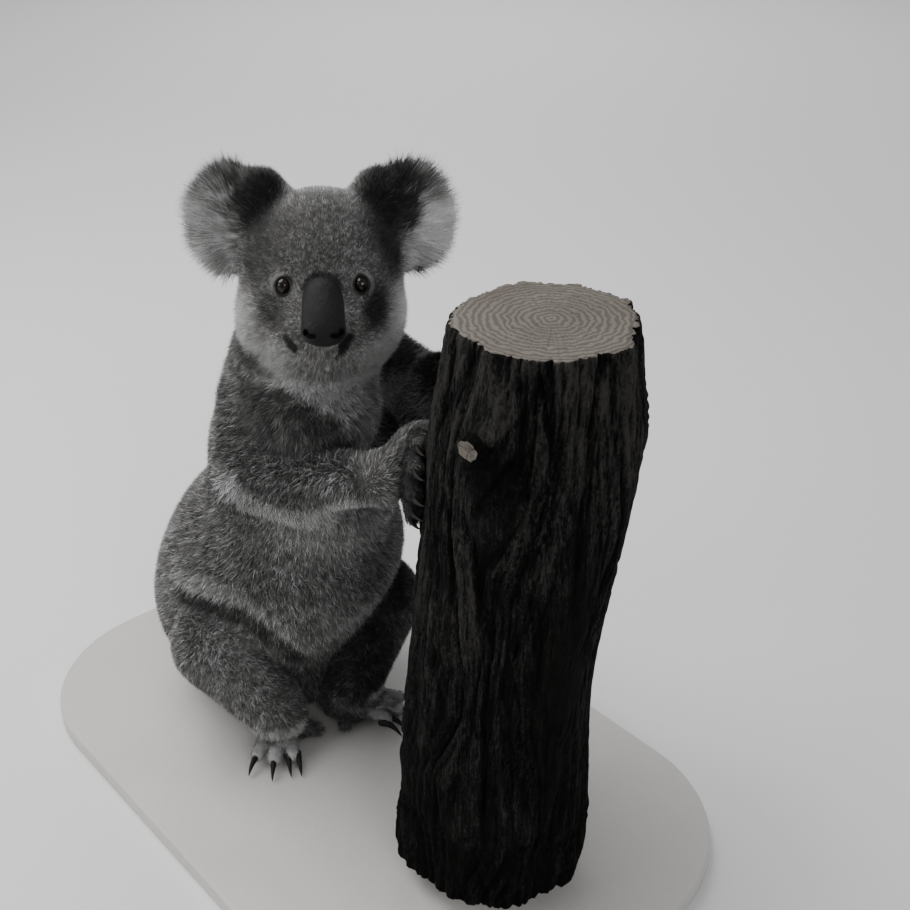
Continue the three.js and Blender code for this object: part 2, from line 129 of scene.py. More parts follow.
def lattice(cells: Array, seed: int) -> Array:
    """Give every cell of a grid its own number.

    Args:
        cells: Whole coordinates, three to a row.
        seed: Which set of numbers.

    Returns:
        Numbers from 0 to 1.
    """
    c = cells.astype(np.int64).astype(np.uint64)
    n = c[..., 0] * np.uint64(374761393) + c[..., 1] * np.uint64(668265263)
    n = (n + c[..., 2] * np.uint64(2246822519) + np.uint64(seed * 3266489917)) & np.uint64(0xFFFFFFFF)
    n = ((n ^ (n >> np.uint64(15))) * np.uint64(2246822519)) & np.uint64(0xFFFFFFFF)
    n = ((n ^ (n >> np.uint64(13))) * np.uint64(3266489917)) & np.uint64(0xFFFFFFFF)
    return ((n ^ (n >> np.uint64(16))) & np.uint64(0xFFFFFF)).astype(np.float64) / 0xFFFFFF


def noise(points: Array, size: Union[float, Vec], seed: int = 0) -> Array:
    """Smooth noise over space.

    Args:
        points: Places, three to a row.
        size: Width of a lump, in the units of the points, alike or for each axis.
        seed: Which noise.

    Returns:
        Values from -1 to 1.
    """
    q = points / np.asarray(size, float)
    base = np.floor(q)
    t = q - base
    t = t * t * t * (t * (t * 6.0 - 15.0) + 10.0)
    total = np.zeros(len(points))
    for corner in range(8):
        step = np.array([corner & 1, corner >> 1 & 1, corner >> 2 & 1])
        share = np.prod(np.where(step == 1, t, 1.0 - t), axis=1)
        total += share * lattice(base + step + 4096, seed)
    return total * 2.0 - 1.0


def layered(points: Array, size: Union[float, Vec], seed: int = 0, layers: int = 3) -> Array:
    """Noise with finer noise laid over it, each layer half the size and height of the last."""
    total = sum(noise(points, np.asarray(size, float) / 2**i, seed + 17 * i) / 2**i for i in range(layers))
    return total / (2.0 - 0.5 ** (layers - 1))


# ------------ shapes as distance fields


class Shape(Protocol):
    """Anything that can say how far points lie outside it."""

    def distance(self, p: Array) -> Array:
        """Distance outside the surface, negative inside."""


@dataclass(frozen=True)
class Egg:
    """An ellipsoid."""

    at: Vec
    radii: Vec

    def distance(self, p: Array) -> Array:
        """Distance outside the egg, nearly true close to its surface.

        Args:
            p: Points.

        Returns:
            Distances.
        """
        r = np.asarray(self.radii, p.dtype)
        q = p - np.asarray(self.at, p.dtype)
        near, steep = (np.sqrt(dot(q / size, q / size)) for size in (r, r * r))
        return near * (near - 1.0) / np.maximum(steep, 1e-7)


@dataclass(frozen=True)
class Taper:
    """A limb between two balls."""

    a: Vec
    b: Vec
    radius_a: float
    radius_b: float

    def distance(self, p: Array) -> Array:
        """Distance outside the limb.

        Args:
            p: Points.

        Returns:
            Distances.
        """
        start = np.asarray(self.a, p.dtype)
        along = np.asarray(self.b, p.dtype) - start
        l2 = float(along @ along)
        drop = self.radius_a - self.radius_b
        slope = l2 - drop * drop
        q = p - start
        y = q @ along
        z = y - l2
        off = q * l2 - along * y[:, None]
        x2 = dot(off, off)
        k = np.sign(drop) * drop * drop * x2
        at_b = np.sqrt(x2 + z * z * l2) / l2 - self.radius_b
        at_a = np.sqrt(x2 + y * y * l2) / l2 - self.radius_a
        side = (np.sqrt(x2 * slope / l2) + y * drop) / l2 - self.radius_a
        past = np.sign(z) * slope * z * z * l2 > k
        before = np.sign(y) * slope * y * y * l2 < k
        return np.where(past, at_b, np.where(before, at_a, side))


def fillet(a: Array, b: Array, width: float) -> Array:
    """Join two fields with a fillet of about that width."""
    h = np.maximum(width - np.abs(a - b), 0.0) / width
    return np.minimum(a, b) - h * h * width * 0.25


@dataclass(frozen=True)
class Blend:
    """Shapes that flow into each other."""

    width: float
    shapes: tuple[Shape, ...]

    def distance(self, p: Array) -> Array:
        """Distance outside the joined shapes.

        Args:
            p: Points.

        Returns:
            Distances.
        """
        total = self.shapes[0].distance(p)
        for shape in self.shapes[1:]:
            total = fillet(total, shape.distance(p), self.width)
        return total


@dataclass(frozen=True)
class Frame:
    """A turned set of axes: the rows of `axes` are its own X, Y and Z."""

    origin: Array
    axes: Array

    def inside(self, p: Array) -> Array:
        """Points given in this frame's own coordinates."""
        return ((p - self.origin) @ self.axes.T).astype(p.dtype)

    def outside(self, q: Union[Array, Sequence[float]]) -> Array:
        """Points of this frame in the seat's coordinates."""
        return np.asarray(q, float) @ self.axes + self.origin

    def vector(self, q: Union[Array, Sequence[float]]) -> Array:
        """Directions of this frame in the seat's coordinates."""
        return np.asarray(q, float) @ self.axes


@dataclass(frozen=True)
class Placed:
    """A shape given in a frame of its own."""

    frame: Frame
    shape: Shape

    def distance(self, p: Array) -> Array:
        """Distance outside the placed shape."""
        return self.shape.distance(self.frame.inside(p))


def turn_matrix(x: float, y: float, z: float) -> Array:
    """Turn about Y, then X, then Z, by degrees, as a matrix for column vectors.

    Args:
        x: Degrees about X.
        y: Degrees about Y.
        z: Degrees about Z.

    Returns:
        The three by three matrix.
    """
    cx, cy, cz = (math.cos(math.radians(v)) for v in (x, y, z))
    sx, sy, sz = (math.sin(math.radians(v)) for v in (x, y, z))
    about_x = np.array([[1, 0, 0], [0, cx, -sx], [0, sx, cx]])
    about_y = np.array([[cy, 0, sy], [0, 1, 0], [-sy, 0, cy]])
    about_z = np.array([[cz, -sz, 0], [sz, cz, 0], [0, 0, 1]])
    return about_z @ about_x @ about_y


# ------------ meshes


@dataclass
class Surface:
    """Triangles in millimetres, with what is known at each corner point."""

    points: Array
    triangles: Array
    normals: Array = field(default_factory=lambda: np.zeros((0, 3)))

    def middles(self) -> Array:
        """Middle of each triangle."""
        return self.points[self.triangles].mean(axis=1)

    def crosses(self) -> Array:
        """Normal of each triangle, twice as long as its area."""
        a, b, c = (self.points[self.triangles[:, i]] for i in range(3))
        return np.cross(b - a, c - a)


def surface_net(values: Array, origin: Array, pitch: float) -> Surface:
    """Draw the zero surface of a grid of distances, one point to each cell that it crosses.

    Args:
        values: Distances on the grid, negative inside.
        origin: Place of the grid's first point.
        pitch: Spacing of the grid.

    Returns:
        The closed surface, faces outwards.
    """
    inside, shape = values < 0, np.array(values.shape) - 1
    corners = [np.array([n & 1, n >> 1 & 1, n >> 2 & 1]) for n in range(8)]
    count = sum(inside[tuple(slice(a, a + n) for a, n in zip(c, shape))].astype(np.int8) for c in corners)
    cells = np.argwhere((count > 0) & (count < 8))
    index = np.full(shape, -1, np.int64)
    index[tuple(cells.T)] = np.arange(len(cells))
    total, hits = np.zeros((len(cells), 3)), np.zeros(len(cells))
    for axis in range(3):
        for start in (c for c in corners if not c[axis]):
            end = start + np.eye(3, dtype=int)[axis]
            v0, v1 = (values[tuple((cells + c).T)] for c in (start, end))
            cross = (v0 < 0) != (v1 < 0)
            place = np.repeat(start[None].astype(float), len(cells), axis=0)
            place[:, axis] = np.where(cross, v0 / np.where(cross, v0 - v1, 1.0), 0.0)
            total += place * cross[:, None]
            hits += cross
    points = (cells + total / np.maximum(hits, 1)[:, None]) * pitch + origin
    quads = []
    for axis in range(3):
        b, c = (axis + 1) % 3, (axis + 2) % 3
        first, second = np.delete(inside, -1, axis), np.delete(inside, 0, axis)
        at = np.argwhere(first != second)
        at = at[(at[:, b] > 0) & (at[:, c] > 0) & (at[:, b] < shape[b]) & (at[:, c] < shape[c])]
        steps = np.zeros((4, 3), int)
        steps[:, [b, c]] = (-1, -1), (0, -1), (0, 0), (-1, 0)
        quad = index[tuple((at[:, None] + steps).transpose(2, 0, 1))]
        inwards = ~first[tuple(at.T)]
        quad[inwards] = quad[inwards][:, ::-1]
        quads.append(quad)
    quad = np.concatenate(quads)
    across, down = (lengths(points[quad[:, i]] - points[quad[:, i + 2]]) for i in (0, 1))
    short = (across <= down)[:, None]
    one = np.where(short, quad[:, [0, 1, 2]], quad[:, [0, 1, 3]])
    two = np.where(short, quad[:, [0, 2, 3]], quad[:, [1, 2, 3]])
    return Surface(points, np.concatenate([one, two]))


def field_net(shape: Callable[[Array], Array], low: Array, high: Array, pitch: float) -> Surface:
    """Draw the surface of a field inside a box.

    Args:
        shape: The field's distances at points.
        low: The box's lowest corner.
        high: The box's highest corner.
        pitch: Spacing of the net.

    Returns:
        The closed surface.
    """
    sizes = np.ceil((high - low) / pitch).astype(int) + 2
    axes = [low[i] - pitch * 0.5 + np.arange(sizes[i]) * pitch for i in range(3)]
    values = np.empty(tuple(sizes), np.float32)
    layers = max(1, MOST_AT_ONCE // (sizes[1] * sizes[2]))
    for start in range(0, sizes[0], layers):
        block = np.stack(np.meshgrid(axes[0][start:start + layers], *axes[1:], indexing="ij"), axis=-1)
        found = shape(block.reshape(-1, 3).astype(np.float32))
        values[start:start + layers] = found.reshape(block.shape[:3])
    return surface_net(values, low - pitch * 0.5, pitch)


def gradient(shape: Callable[[Array], Array], points: Array, step: float = 0.4) -> tuple[Array, Array]:
    """Value and slope of a field at points, from readings a step apart."""
    here = shape(points)
    return here, np.stack([(shape(points + way) - here) / step for way in np.eye(3) * step], axis=1)


def settle(shape: Callable[[Array], Array], points: Array, rounds: int, most: float = 2.0) -> Array:
    """Move points onto the zero surface of a field.

    Args:
        shape: The field.
        points: Points near the surface.
        rounds: How often to step.
        most: Longest single step.

    Returns:
        The moved points.
    """
    for _ in range(rounds):
        here, slope = gradient(shape, points)
        size = np.maximum(dot(slope, slope), 0.15)
        points = points - slope * (np.clip(here, -most, most) / size)[:, None]
    return points


# Corners 0 to 2 of a triangle and the middles 3 to 5 of its sides, for one, two or three sides cut.
CUT_FACES = {
    1: ([0, 3, 2], [3, 1, 2]),
    2: ([0, 3, 2], [3, 4, 2], [3, 1, 4]),
    3: ([0, 3, 5], [3, 1, 4], [5, 4, 2], [3, 4, 5]),
}


def refined(surface: Surface, wanted: Array) -> tuple[Surface, Array]:
    """Split some triangles into four, and close the net round them.

    Args:
        surface: The net.
        wanted: Which triangles to split.

    Returns:
        The finer net, and which of its points are new or touch a split triangle.
    """
    tri = surface.triangles
    n = np.int64(len(surface.points))
    ends = np.stack([tri, np.roll(tri, -1, axis=1)], axis=2)
    keys = ends.min(axis=2) * n + ends.max(axis=2)
    split = np.unique(keys[wanted])
    middle = (surface.points[split // n] + surface.points[split % n]) * 0.5
    place = np.minimum(np.searchsorted(split, keys), len(split) - 1)
    mids = np.where(split[place] == keys, place + n, -1)
    points = np.concatenate([surface.points, middle])
    has = mids >= 0
    count = has.sum(axis=1)
    nodes = np.concatenate([tri, mids], axis=1)
    parts = [tri[count == 0]]
    for turn in range(3):
        order = np.roll(np.arange(3), -turn)
        turned = nodes[:, np.concatenate([order, order + 3])]
        for cuts in (1, 2):
            which = (count == cuts) & has[:, turn] & (has[:, (turn + 1) % 3] | (cuts == 1))
            parts += [turned[which][:, face] for face in CUT_FACES[cuts]]
    parts += [nodes[count == 3][:, face] for face in CUT_FACES[3]]
    touched = np.zeros(len(points), bool)
    touched[len(surface.points):] = True
    touched[tri[wanted].ravel()] = True
    return Surface(points, np.concatenate(parts)), touched


def eased(surface: Surface, which: Array) -> Array:
    """Slide points halfway to the middle of their neighbours.

    Args:
        surface: The net.
        which: Which points may move.

    Returns:
        The points.
    """
    total, count = np.zeros_like(surface.points), np.zeros(len(surface.points))
    tri = surface.triangles
    for i in range(3):
        for j in ((i + 1) % 3, (i + 2) % 3):
            for axis in range(3):
                total[:, axis] += np.bincount(tri[:, i], surface.points[tri[:, j], axis], len(count))
            count += np.bincount(tri[:, i], minlength=len(count))
    middle = total / np.maximum(count, 1)[:, None]
    return np.where(which[:, None], mix(surface.points, middle, 0.5), surface.points)


def outward(points: Array, faces: Array) -> Array:
    """Turn the faces of a closed mesh outwards, by the sign of its volume."""
    a, b, c = (points[faces[:, i]] for i in range(3))
    return faces if dot(a, np.cross(b, c)).sum() > 0 else faces[:, ::-1]


def closed_tube(rows: Array, poles: Array) -> tuple[Array, Array]:
    """Close a stack of rings with a pole at each end.

    Args:
        rows: Rings, points of a ring, and X, Y and Z.
        poles: The pole after the last ring, and the pole before the first.

    Returns:
        The points, and the triangles, turned outwards.
    """
    rings, sides = rows.shape[:2]
    points = np.concatenate([rows.reshape(-1, 3), poles])
    here = np.arange(rings * sides).reshape(rings, sides)
    after = np.roll(here, -1, axis=1)
    last, first = np.full(sides, rings * sides), np.full(sides, rings * sides + 1)
    a, b, c, d = (v.ravel() for v in (here[:-1], after[:-1], here[1:], after[1:]))
    faces = [(a, c, b), (b, c, d), (after[-1], here[-1], last), (here[0], after[0], first)]
    return points, outward(points, np.concatenate([np.stack(f, 1) for f in faces]))


def make_object(name: str, points: Array, faces: Array, materials: Sequence[Material]) -> Piece:
    """Make a mesh object from arrays.

    Args:
        name: The piece's name.
        points: Millimetres from the seat point.
        faces: Point numbers, three to a row.
        materials: The piece's finishes.

    Returns:
        The object, at the origin.
    """
    mesh = bpy.data.meshes.new(name)
    mesh.vertices.add(len(points))
    mesh.vertices.foreach_set("co", to_model(points).astype(np.float32).ravel())
    mesh.loops.add(faces.size)
    mesh.loops.foreach_set("vertex_index", faces.astype(np.int32).ravel())
    mesh.polygons.add(len(faces))
    mesh.polygons.foreach_set("loop_start", np.arange(0, faces.size, 3, dtype=np.int32))
    mesh.polygons.foreach_set("use_smooth", np.ones(len(faces), bool))
    mesh.update(calc_edges=True)
    for material in materials:
        mesh.materials.append(material)
    piece = bpy.data.objects.new(name, mesh)
    bpy.context.scene.collection.objects.link(piece)
    return piece


def paint(piece: Piece, name: str, colours: Array) -> None:
    """Store a colour for each point.

    Args:
        piece: The object.
        name: Name of the attribute.
        colours: Red, green and blue, one row for each point.
    """
    layer = piece.data.color_attributes.new(name=name, type="FLOAT_COLOR", domain="POINT")
    rgba = np.ones((len(colours), 4), np.float32)
    rgba[:, :3] = colours
    layer.data.foreach_set("color", rgba.ravel())


def measure(piece: Piece, name: str, values: Array) -> None:
    """Store a number for each point, for its material to read."""
    layer = piece.data.attributes.new(name=name, type="FLOAT", domain="POINT")
    layer.data.foreach_set("value", values.astype(np.float32))


def unwrap(piece: Piece, corners: Array) -> None:
    """Store the bake map: the place of each face corner, in the order of the faces."""
    layer = piece.data.uv_layers.new(name="OFBake")
    layer.data.foreach_set("uv", corners.astype(np.float32).ravel())


def hand_over(piece: Piece, slot: str, *nodes: str) -> None:
    """Fix a piece to the body, let it stand for solids and log it.

    Args:
        piece: The finished piece.
        slot: Not used.
        nodes: The solids that it stands for.
    """
    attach(piece, BODY)
    if nodes:
        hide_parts(*nodes)
    LOG.info("%s: %d points, %d faces", piece.name, len(piece.data.vertices), len(piece.data.polygons))


# ------------ the animal's shape


class Side(Enum):
    """The koala's own right or left, as the sign of X."""

    RIGHT = -1
    LEFT = 1

    @property
    def word(self) -> str:
        """The side's name, as the solids have it."""
        return self.name.lower()


class Region(Enum):
    """The pieces that the coat is made in."""

    FACE = "coat_face"
    CROWN = "coat_crown"
    EARS = "coat_ears"
    NECK = "coat_neck"
    BELLY = "coat_belly"
    BACK = "coat_back"
    ARMS = "coat_arms"
    LEGS = "coat_legs"
    PAWS = "coat_paws"


Lie = Callable[[Array], Array]


def away_from(place: Union[Array, Vec]) -> Lie:
    """Hair that points away from a place."""
    return lambda p: unit(p - np.asarray(place, float))


def towards(start: Union[Array, Vec], end: Union[Array, Vec], drop: float = 0.0) -> Lie:
    """Hair that runs from start to end, turned down by drop."""
    way = unit(np.asarray(end, float) - np.asarray(start, float)) + np.array([0.0, 0.0, -drop])
    return lambda p: np.repeat(unit(way)[None], len(p), axis=0)


@dataclass(frozen=True)
class Part:
    """A part of the body: where its coat ends, and how the coat lies on it."""

    name: str
    region: Region
    shape: Shape
    depth: Union[float, Callable[[Array], Array]]
    lie: Lie
    hair: float
    width: float
    crease: float = 5.0

    def sunk(self, p: Array) -> Array:
        """Distance outside the skin of this part."""
        depth = self.depth(p) if callable(self.depth) else self.depth
        return self.shape.distance(p) + depth


@dataclass(frozen=True)
class Post:
    """The cut length of post: a leaning stem with shallow flutes."""

    radius: float = 72.0
    bottom: float = 22.0
    top: float = 472.0
    foot: tuple[float, float] = (0.0, -314.0)
    lean: tuple[float, float] = (0.045, -0.04)

    def axis(self, z: Array) -> Array:
        """Points of the axis at heights z."""
        return np.stack([self.foot[0] + self.lean[0] * z, self.foot[1] + self.lean[1] * z, z], axis=-1)

    def relief(self, angle: Array, z: Array) -> Array:
        """How far the bark stands over the plain stem.

        Args:
            angle: Radians from the side that faces the koala, positive towards its left.
            z: Heights.

        Returns:
            Millimetres outwards.
        """
        flutes = 1.4 * np.sin(5 * angle + z / 90) + 1.1 * np.sin(9 * angle - z / 60)
        loose = 7 * bell_round(angle, -0.84, 0.7) * bell(z, 60, 240)
        bare = -20 * bell_round(angle, 2.3, 0.75) * bell(z, 205, 130)
        swelling = 4 * bell_round(angle, 1.9, 0.7) * bell(z, 380, 70)
        taper = -(11 + 9 * bell_round(angle, 2.3, 0.9)) * bell(z, 510, 95)
        return flutes + loose + bare + swelling + taper

    def place(self, around: float, z: float, lift: float) -> Array:
        """A point at degrees around, height z, and lift over the plain stem."""
        out, angle = self.radius + lift, math.radians(around)
        return self.axis(np.array(z)) + np.array([math.sin(angle) * out, math.cos(angle) * out, 0.0])

    def outside(self, p: Array) -> Array:
        """Distance of points outside the bark."""
        off = (p - self.axis(p[:, 2]))[:, :2]
        return lengths(off) - self.radius - self.relief(np.arctan2(off[:, 0], off[:, 1]), p[:, 2])


@dataclass(frozen=True)
class Anatomy:
    """The sizes of the body, the same as in the solids."""

    head_at: Vec = (0.0, -120.0, 437.0)
    head_turn: float = -35.7
    head_lift: float = 21.0
    head_roll: float = 1.4
    eye_at: Vec = (26.5, -52.0, 0.0)
    eye_radius: float = 8.5
    lids_at: Vec = (26.9, -61.5, 0.0)
    ear_at: Vec = (62.0, 8.0, 52.0)
    ear_splay: float = 18.0
    ear_turn: float = 14.0
    arm_radii: tuple[float, ...] = (41.0, 29.0, 32.0, 20.0)
    crook_radii: Vec = (32.0, 48.0, 42.0)
    leg_radii: tuple[float, ...] = (45.0, 39.0, 43.0, 28.0)
    palm_radii: Vec = (22.0, 22.0, 24.0)
    sole_radii: Vec = (23.0, 29.0, 16.0)
    post: Post = Post()
    # Shoulder, elbow, crook and wrist.
    arms: dict[Side, tuple[Vec, ...]] = field(default_factory=lambda: {
        Side.RIGHT: ((-34, -84, 336), (-66, -102, 287), (-46, -146, 302), (-44, -238, 340)),
        Side.LEFT: ((56, -92, 345), (98, -138, 318), (80, -176, 332), (58, -236, 350)),
    })
    # Hip, knee, ankle and heel.
    legs: dict[Side, tuple[Vec, ...]] = field(default_factory=lambda: {
        Side.RIGHT: ((-46, 18, 82), (-80, -46, 100), (-55, -92, 36), (-42, -76, 17)),
        Side.LEFT: ((54, 16, 82), (66, -84, 98), (20, -104, 36), (8, -96, 17)),
    })
    # Middle of each sole, and degrees that the foot turns out.
    feet: dict[Side, Vec] = field(default_factory=lambda: {
        Side.RIGHT: (-52, -88, 36), Side.LEFT: (25, -106, 24),
    })
    # Height over the grip, degrees round the post of knuckle and tip, and radius.
    finger_rows: tuple[tuple[float, ...], ...] = (
        (27, 24, 36, 6.5), (14, 28, 44, 7), (-2, 30, 49, 7.5), (-15, 29, 47, 7.5), (-27, 26, 41, 6.5),
    )
    # Root and tip out and forward on the foot, height and radius, the great toe first.
    toe_rows: tuple[tuple, ...] = (
        ((-14, 0), (-32, 2), 10.0, 8.0), ((-8, 14), (-11, 33), 9.5, 8.0),
        ((3, 16), (5, 37), 10.5, 8.0), ((12, 11), (20, 30), 10.5, 7.5),
    )

    def head(self) -> Frame:
        """The head's frame: X to its left, Y to its back, Z up through the crown."""
        turn = turn_matrix(-self.head_lift, self.head_roll, self.head_turn)
        return Frame(np.array(self.head_at), turn.T)

    def ear(self, side: Side) -> Frame:
        """An ear's frame: X outwards on the left, Y to its back, Z to its top.

        Args:
            side: Which ear.

        Returns:
            The frame.
        """
        s = side.value
        turn = turn_matrix(0.0, self.ear_splay * s, self.ear_turn * s)
        head = self.head()
        at = head.outside((self.ear_at[0] * s, self.ear_at[1], self.ear_at[2]))
        return Frame(at, turn.T @ head.axes)

    def grip(self, side: Side) -> float:
        """Height of a hand on the post."""
        return 347.0 if side is Side.RIGHT else 354.0

    def fingers(self, side: Side) -> list[tuple[Array, Array, float, float]]:
        """Knuckle, tip and radius of each finger, and its height over the grip.

        Args:
            side: Which hand.

        Returns:
            One row for each finger.
        """
        found = []
        for rise, knuckle, tip, radius in self.finger_rows:
            a = self.post.place(side.value * knuckle, self.grip(side) + rise * 0.7, 15.0)
            b = self.post.place(side.value * tip, self.grip(side) + rise, 9.0)
            found.append((a, b, radius, rise))
        return found

    def foot_point(self, side: Side, out: float, forward: float, height: float) -> Array:
        """A point of a foot: out and forward from the middle of its sole.

        Args:
            side: Which foot.
            out: Millimetres outwards.
            forward: Millimetres forward.
            height: Height over the base.

        Returns:
            The point.
        """
        x, y, turned = self.feet[side]
        c, s = math.cos(math.radians(turned)), math.sin(math.radians(turned))
        return np.array([x + side.value * (out * c + forward * s), y + (out * s - forward * c), height])

    def toes(self, side: Side) -> list[tuple[Array, Array, float]]:
        """Root, tip and radius of each toe, the great toe first."""
        return [(self.foot_point(side, *root, h + 2), self.foot_point(side, *tip, h), radius)
                for root, tip, h, radius in self.toe_rows]

    def toe_claws(self, side: Side) -> list[tuple[Array, Array]]:
        """Root and direction of each toe claw.

        Args:
            side: Which foot.

        Returns:
            One row for each claw.
        """
        found = []
        for toe, aside in ((1, -4.5), (1, 4.5), (2, 0.0), (3, 0.0)):
            *spots, h, _ = self.toe_rows[toe]
            a, b = (self.foot_point(side, out + aside, forward, h) for out, forward in spots)
            found.append((b, b - a + (0, 0, 4)))
        return found

    def finger_claws(self, side: Side) -> list[tuple[Array, Array, Array]]:
        """Root, direction and bend of each finger claw.

        Args:
            side: Which hand.

        Returns:
            One row for each claw.
        """
        found = []
        for (_, tip, _, rise), row in zip(self.fingers(side), self.finger_rows):
            height = self.grip(side) + rise
            inwards = self.post.axis(np.array(height)) - tip
            along = self.post.place(side.value * (row[2] + 14), height, 9.0) - tip
            found.append((tip, unit(along) - 0.25 * unit(inwards), inwards))
        return found

    def mouth(self, q: Array) -> Array:
        """Fold points of the head's frame about the middle of the mouth, which is drawn a little aside."""
        return abs_x(q + np.array([3.5, 0.0, 0.0], q.dtype))

    def head_shape(self) -> Shape:
        """The head out to the tips of its coat.

        Returns:
            The shape, in the seat's coordinates.
        """
        eggs = [Egg((0, 2, 12), (60, 62, 60))]
        eggs += [Egg((32 * s.value, -12, -20), (28, 38, 33)) for s in Side]
        eggs += [Egg((41 * s.value, 4, 58), (20, 20, 27)) for s in Side]
        eggs += [Egg((0, -36, 2), (38, 28, 30)), Egg((0, -50, -23), (29, 31, 28))]
        eggs += [Egg((0, -34, -38), (36, 34, 21))]
        return Placed(self.head(), Blend(16.0, tuple(eggs)))

    def head_depth(self, p: Array) -> Array:
        """Depth of the coat on the head: short in front, deep on the cheeks and crown.

        Args:
            p: Points.

        Returns:
            Depths.
        """
        q = self.head().inside(p)
        back = smooth_step(-58.0, -18.0, q[:, 1])
        cheek = smooth_step(26.0, 46.0, np.abs(q[:, 0])) * smooth_step(20.0, -10.0, q[:, 2])
        chin = smooth_step(-34.0, -52.0, q[:, 2])
        depth = 2.6 + 4.6 * back + 2.6 * cheek + 2.4 * chin * (1.0 - back)
        return depth.astype(p.dtype)

    def head_hair(self, q: Array) -> Array:
        """Length of the head's hair: short in front, long on the cheeks and under the chin.

        Args:
            q: Points in the head's frame.

        Returns:
            Lengths.
        """
        back = smooth_step(-60.0, -22.0, q[:, 1])
        cheek = smooth_step(24.0, 44.0, np.abs(q[:, 0])) * smooth_step(16.0, -14.0, q[:, 2])
        chin = smooth_step(-38.0, -56.0, q[:, 2])
        return 4.0 + 5.0 * back + 7.0 * cheek * back + 14.0 * chin * (0.4 + 0.6 * back)

    def pinna(self, side: Side) -> Shape:
        """The thin shell of an ear, which the long hair of the rim grows from."""
        s = side.value
        return Placed(self.ear(side), Egg((-5.0 * s, 3.0, -9.0), (27.0, 6.5, 29.0)))

    def parts(self) -> list[Part]:
        """Every part of the body, with its coat.

        Returns:
            The parts, those on the trunk first.
        """
        trunk = Blend(40.0, (
            Egg((4, 4, 98), (106, 104, 106)),
            Egg((11, -33, 164), (106, 101, 96)),
            Egg((8, -72, 268), (82, 88, 94)),
        ))
        trunk = Blend(24.0, (trunk, Egg((-4, -56, 34), (34, 34, 36))))
        neck = Blend(30.0, (Egg((-5, -95, 362), (60, 56, 62)), Egg((-30, -144, 352), (50, 48, 50))))
        head = self.head()
        nose = head.outside((0, -84, -20))
        found = [
            Part("trunk", Region.BACK, trunk, 12.0, away_from((0, -60, 520)), 13.4, 20.0),
            Part("neck", Region.NECK, neck, 12.0, away_from(head.outside((0, 10, 20))), 15.0, 30.0, 50.0),
            Part("head", Region.CROWN, self.head_shape(), self.head_depth, away_from(nose), 10.0, 36.0, 66.0),
        ]
        for side in Side:
            out_of_ear = away_from(self.ear(side).outside((-20.0 * side.value, 4.0, -30.0)))
            pinna = self.pinna(side)
            found.append(Part("ear_" + side.word, Region.EARS, pinna, 0.0, out_of_ear, 25.0, 14.0, 22.0))
            shoulder, elbow, crook, wrist = self.arms[side]
            r = self.arm_radii
            fore = Blend(24.0, (Taper(elbow, wrist, r[2], r[3]), Egg(crook, self.crook_radii)))
            if side is Side.LEFT:
                fore = Blend(20.0, (fore, Egg((68, -168, 316), (26, 36, 32))))
            palm_at = tuple(self.post.place(16.0 * side.value, self.grip(side), 18.0))
            palm = Blend(14.0, (Egg(palm_at, self.palm_radii), Taper(wrist, palm_at, 19.0, 19.0)))
            hand_way = towards(wrist, palm_at)
            found += [
                Part("upper_arm_" + side.word, Region.ARMS, Taper(shoulder, elbow, r[0], r[1]), 11.0,
                     towards(shoulder, elbow, 0.2), 12.6, 16.0, 24.0),
                Part("forearm_" + side.word, Region.ARMS, fore, 10.0,
                     towards(elbow, wrist, 0.9), 12.2, 10.0, 8.0),
                Part("hand_" + side.word, Region.PAWS, palm, 4.0, hand_way, 8.0, 9.0, 8.0),
            ]
            for a, b, radius, _ in self.fingers(side):
                digit = Taper(tuple(a), tuple(b), radius + 2.0, radius)
                found.append(Part("hand_" + side.word, Region.PAWS, digit, 2.0, towards(a, b), 6.0, 3.0))
            hip, knee, ankle, heel = self.legs[side]
            r = self.leg_radii
            middle = self.foot_point(side, 0.0, 0.0, 15.0)
            turn = turn_matrix(0.0, 0.0, side.value * self.feet[side][2])
            sole = Placed(Frame(middle, turn.T), Egg((0.0, 0.0, 0.0), self.sole_radii))
            foot = Blend(12.0, (sole, Taper(heel, tuple(middle), 19.0, 15.0)))
            toes = self.toes(side)
            ahead = towards(heel, toes[2][1])
            found += [
                Part("thigh_" + side.word, Region.LEGS, Taper(hip, knee, r[0], r[1]), 12.0,
                     towards(hip, knee, 0.3), 13.4, 8.0, 5.0),
                Part("shank_" + side.word, Region.LEGS, Taper(knee, ankle, r[2], r[3]), 10.0,
                     towards(knee, ankle), 11.6, 9.0, 8.0),
                Part("foot_" + side.word, Region.PAWS, foot, 4.0, ahead, 6.5, 16.0, 20.0),
            ]
            for i, (a, b, radius) in enumerate(toes):
                toe = Taper(tuple(a), tuple(b), radius + 1.0, radius)
                coat = (2.4, 3.0, 2.0, 3.0) if i else (4.4, 8.0, 8.0, 14.0)
                found.append(Part("foot_" + side.word, Region.PAWS, toe, coat[0], towards(a, b), *coat[1:]))
        return found


# ------------ markings


@dataclass(frozen=True)
class Patch:
    """A soft-edged patch of the coat."""

    at: Vec
    radii: Vec
    tone: float
    strength: float = 1.0
    soft: float = 0.5

    def over(self, tone: Array, q: Array) -> Array:
        """Lay the patch over the lightness at points q."""
        near = lengths((q - np.array(self.at)) / np.array(self.radii))
        return mix(tone, self.tone, smooth_step(1.0 + self.soft, 1.0 - self.soft, near) * self.strength)


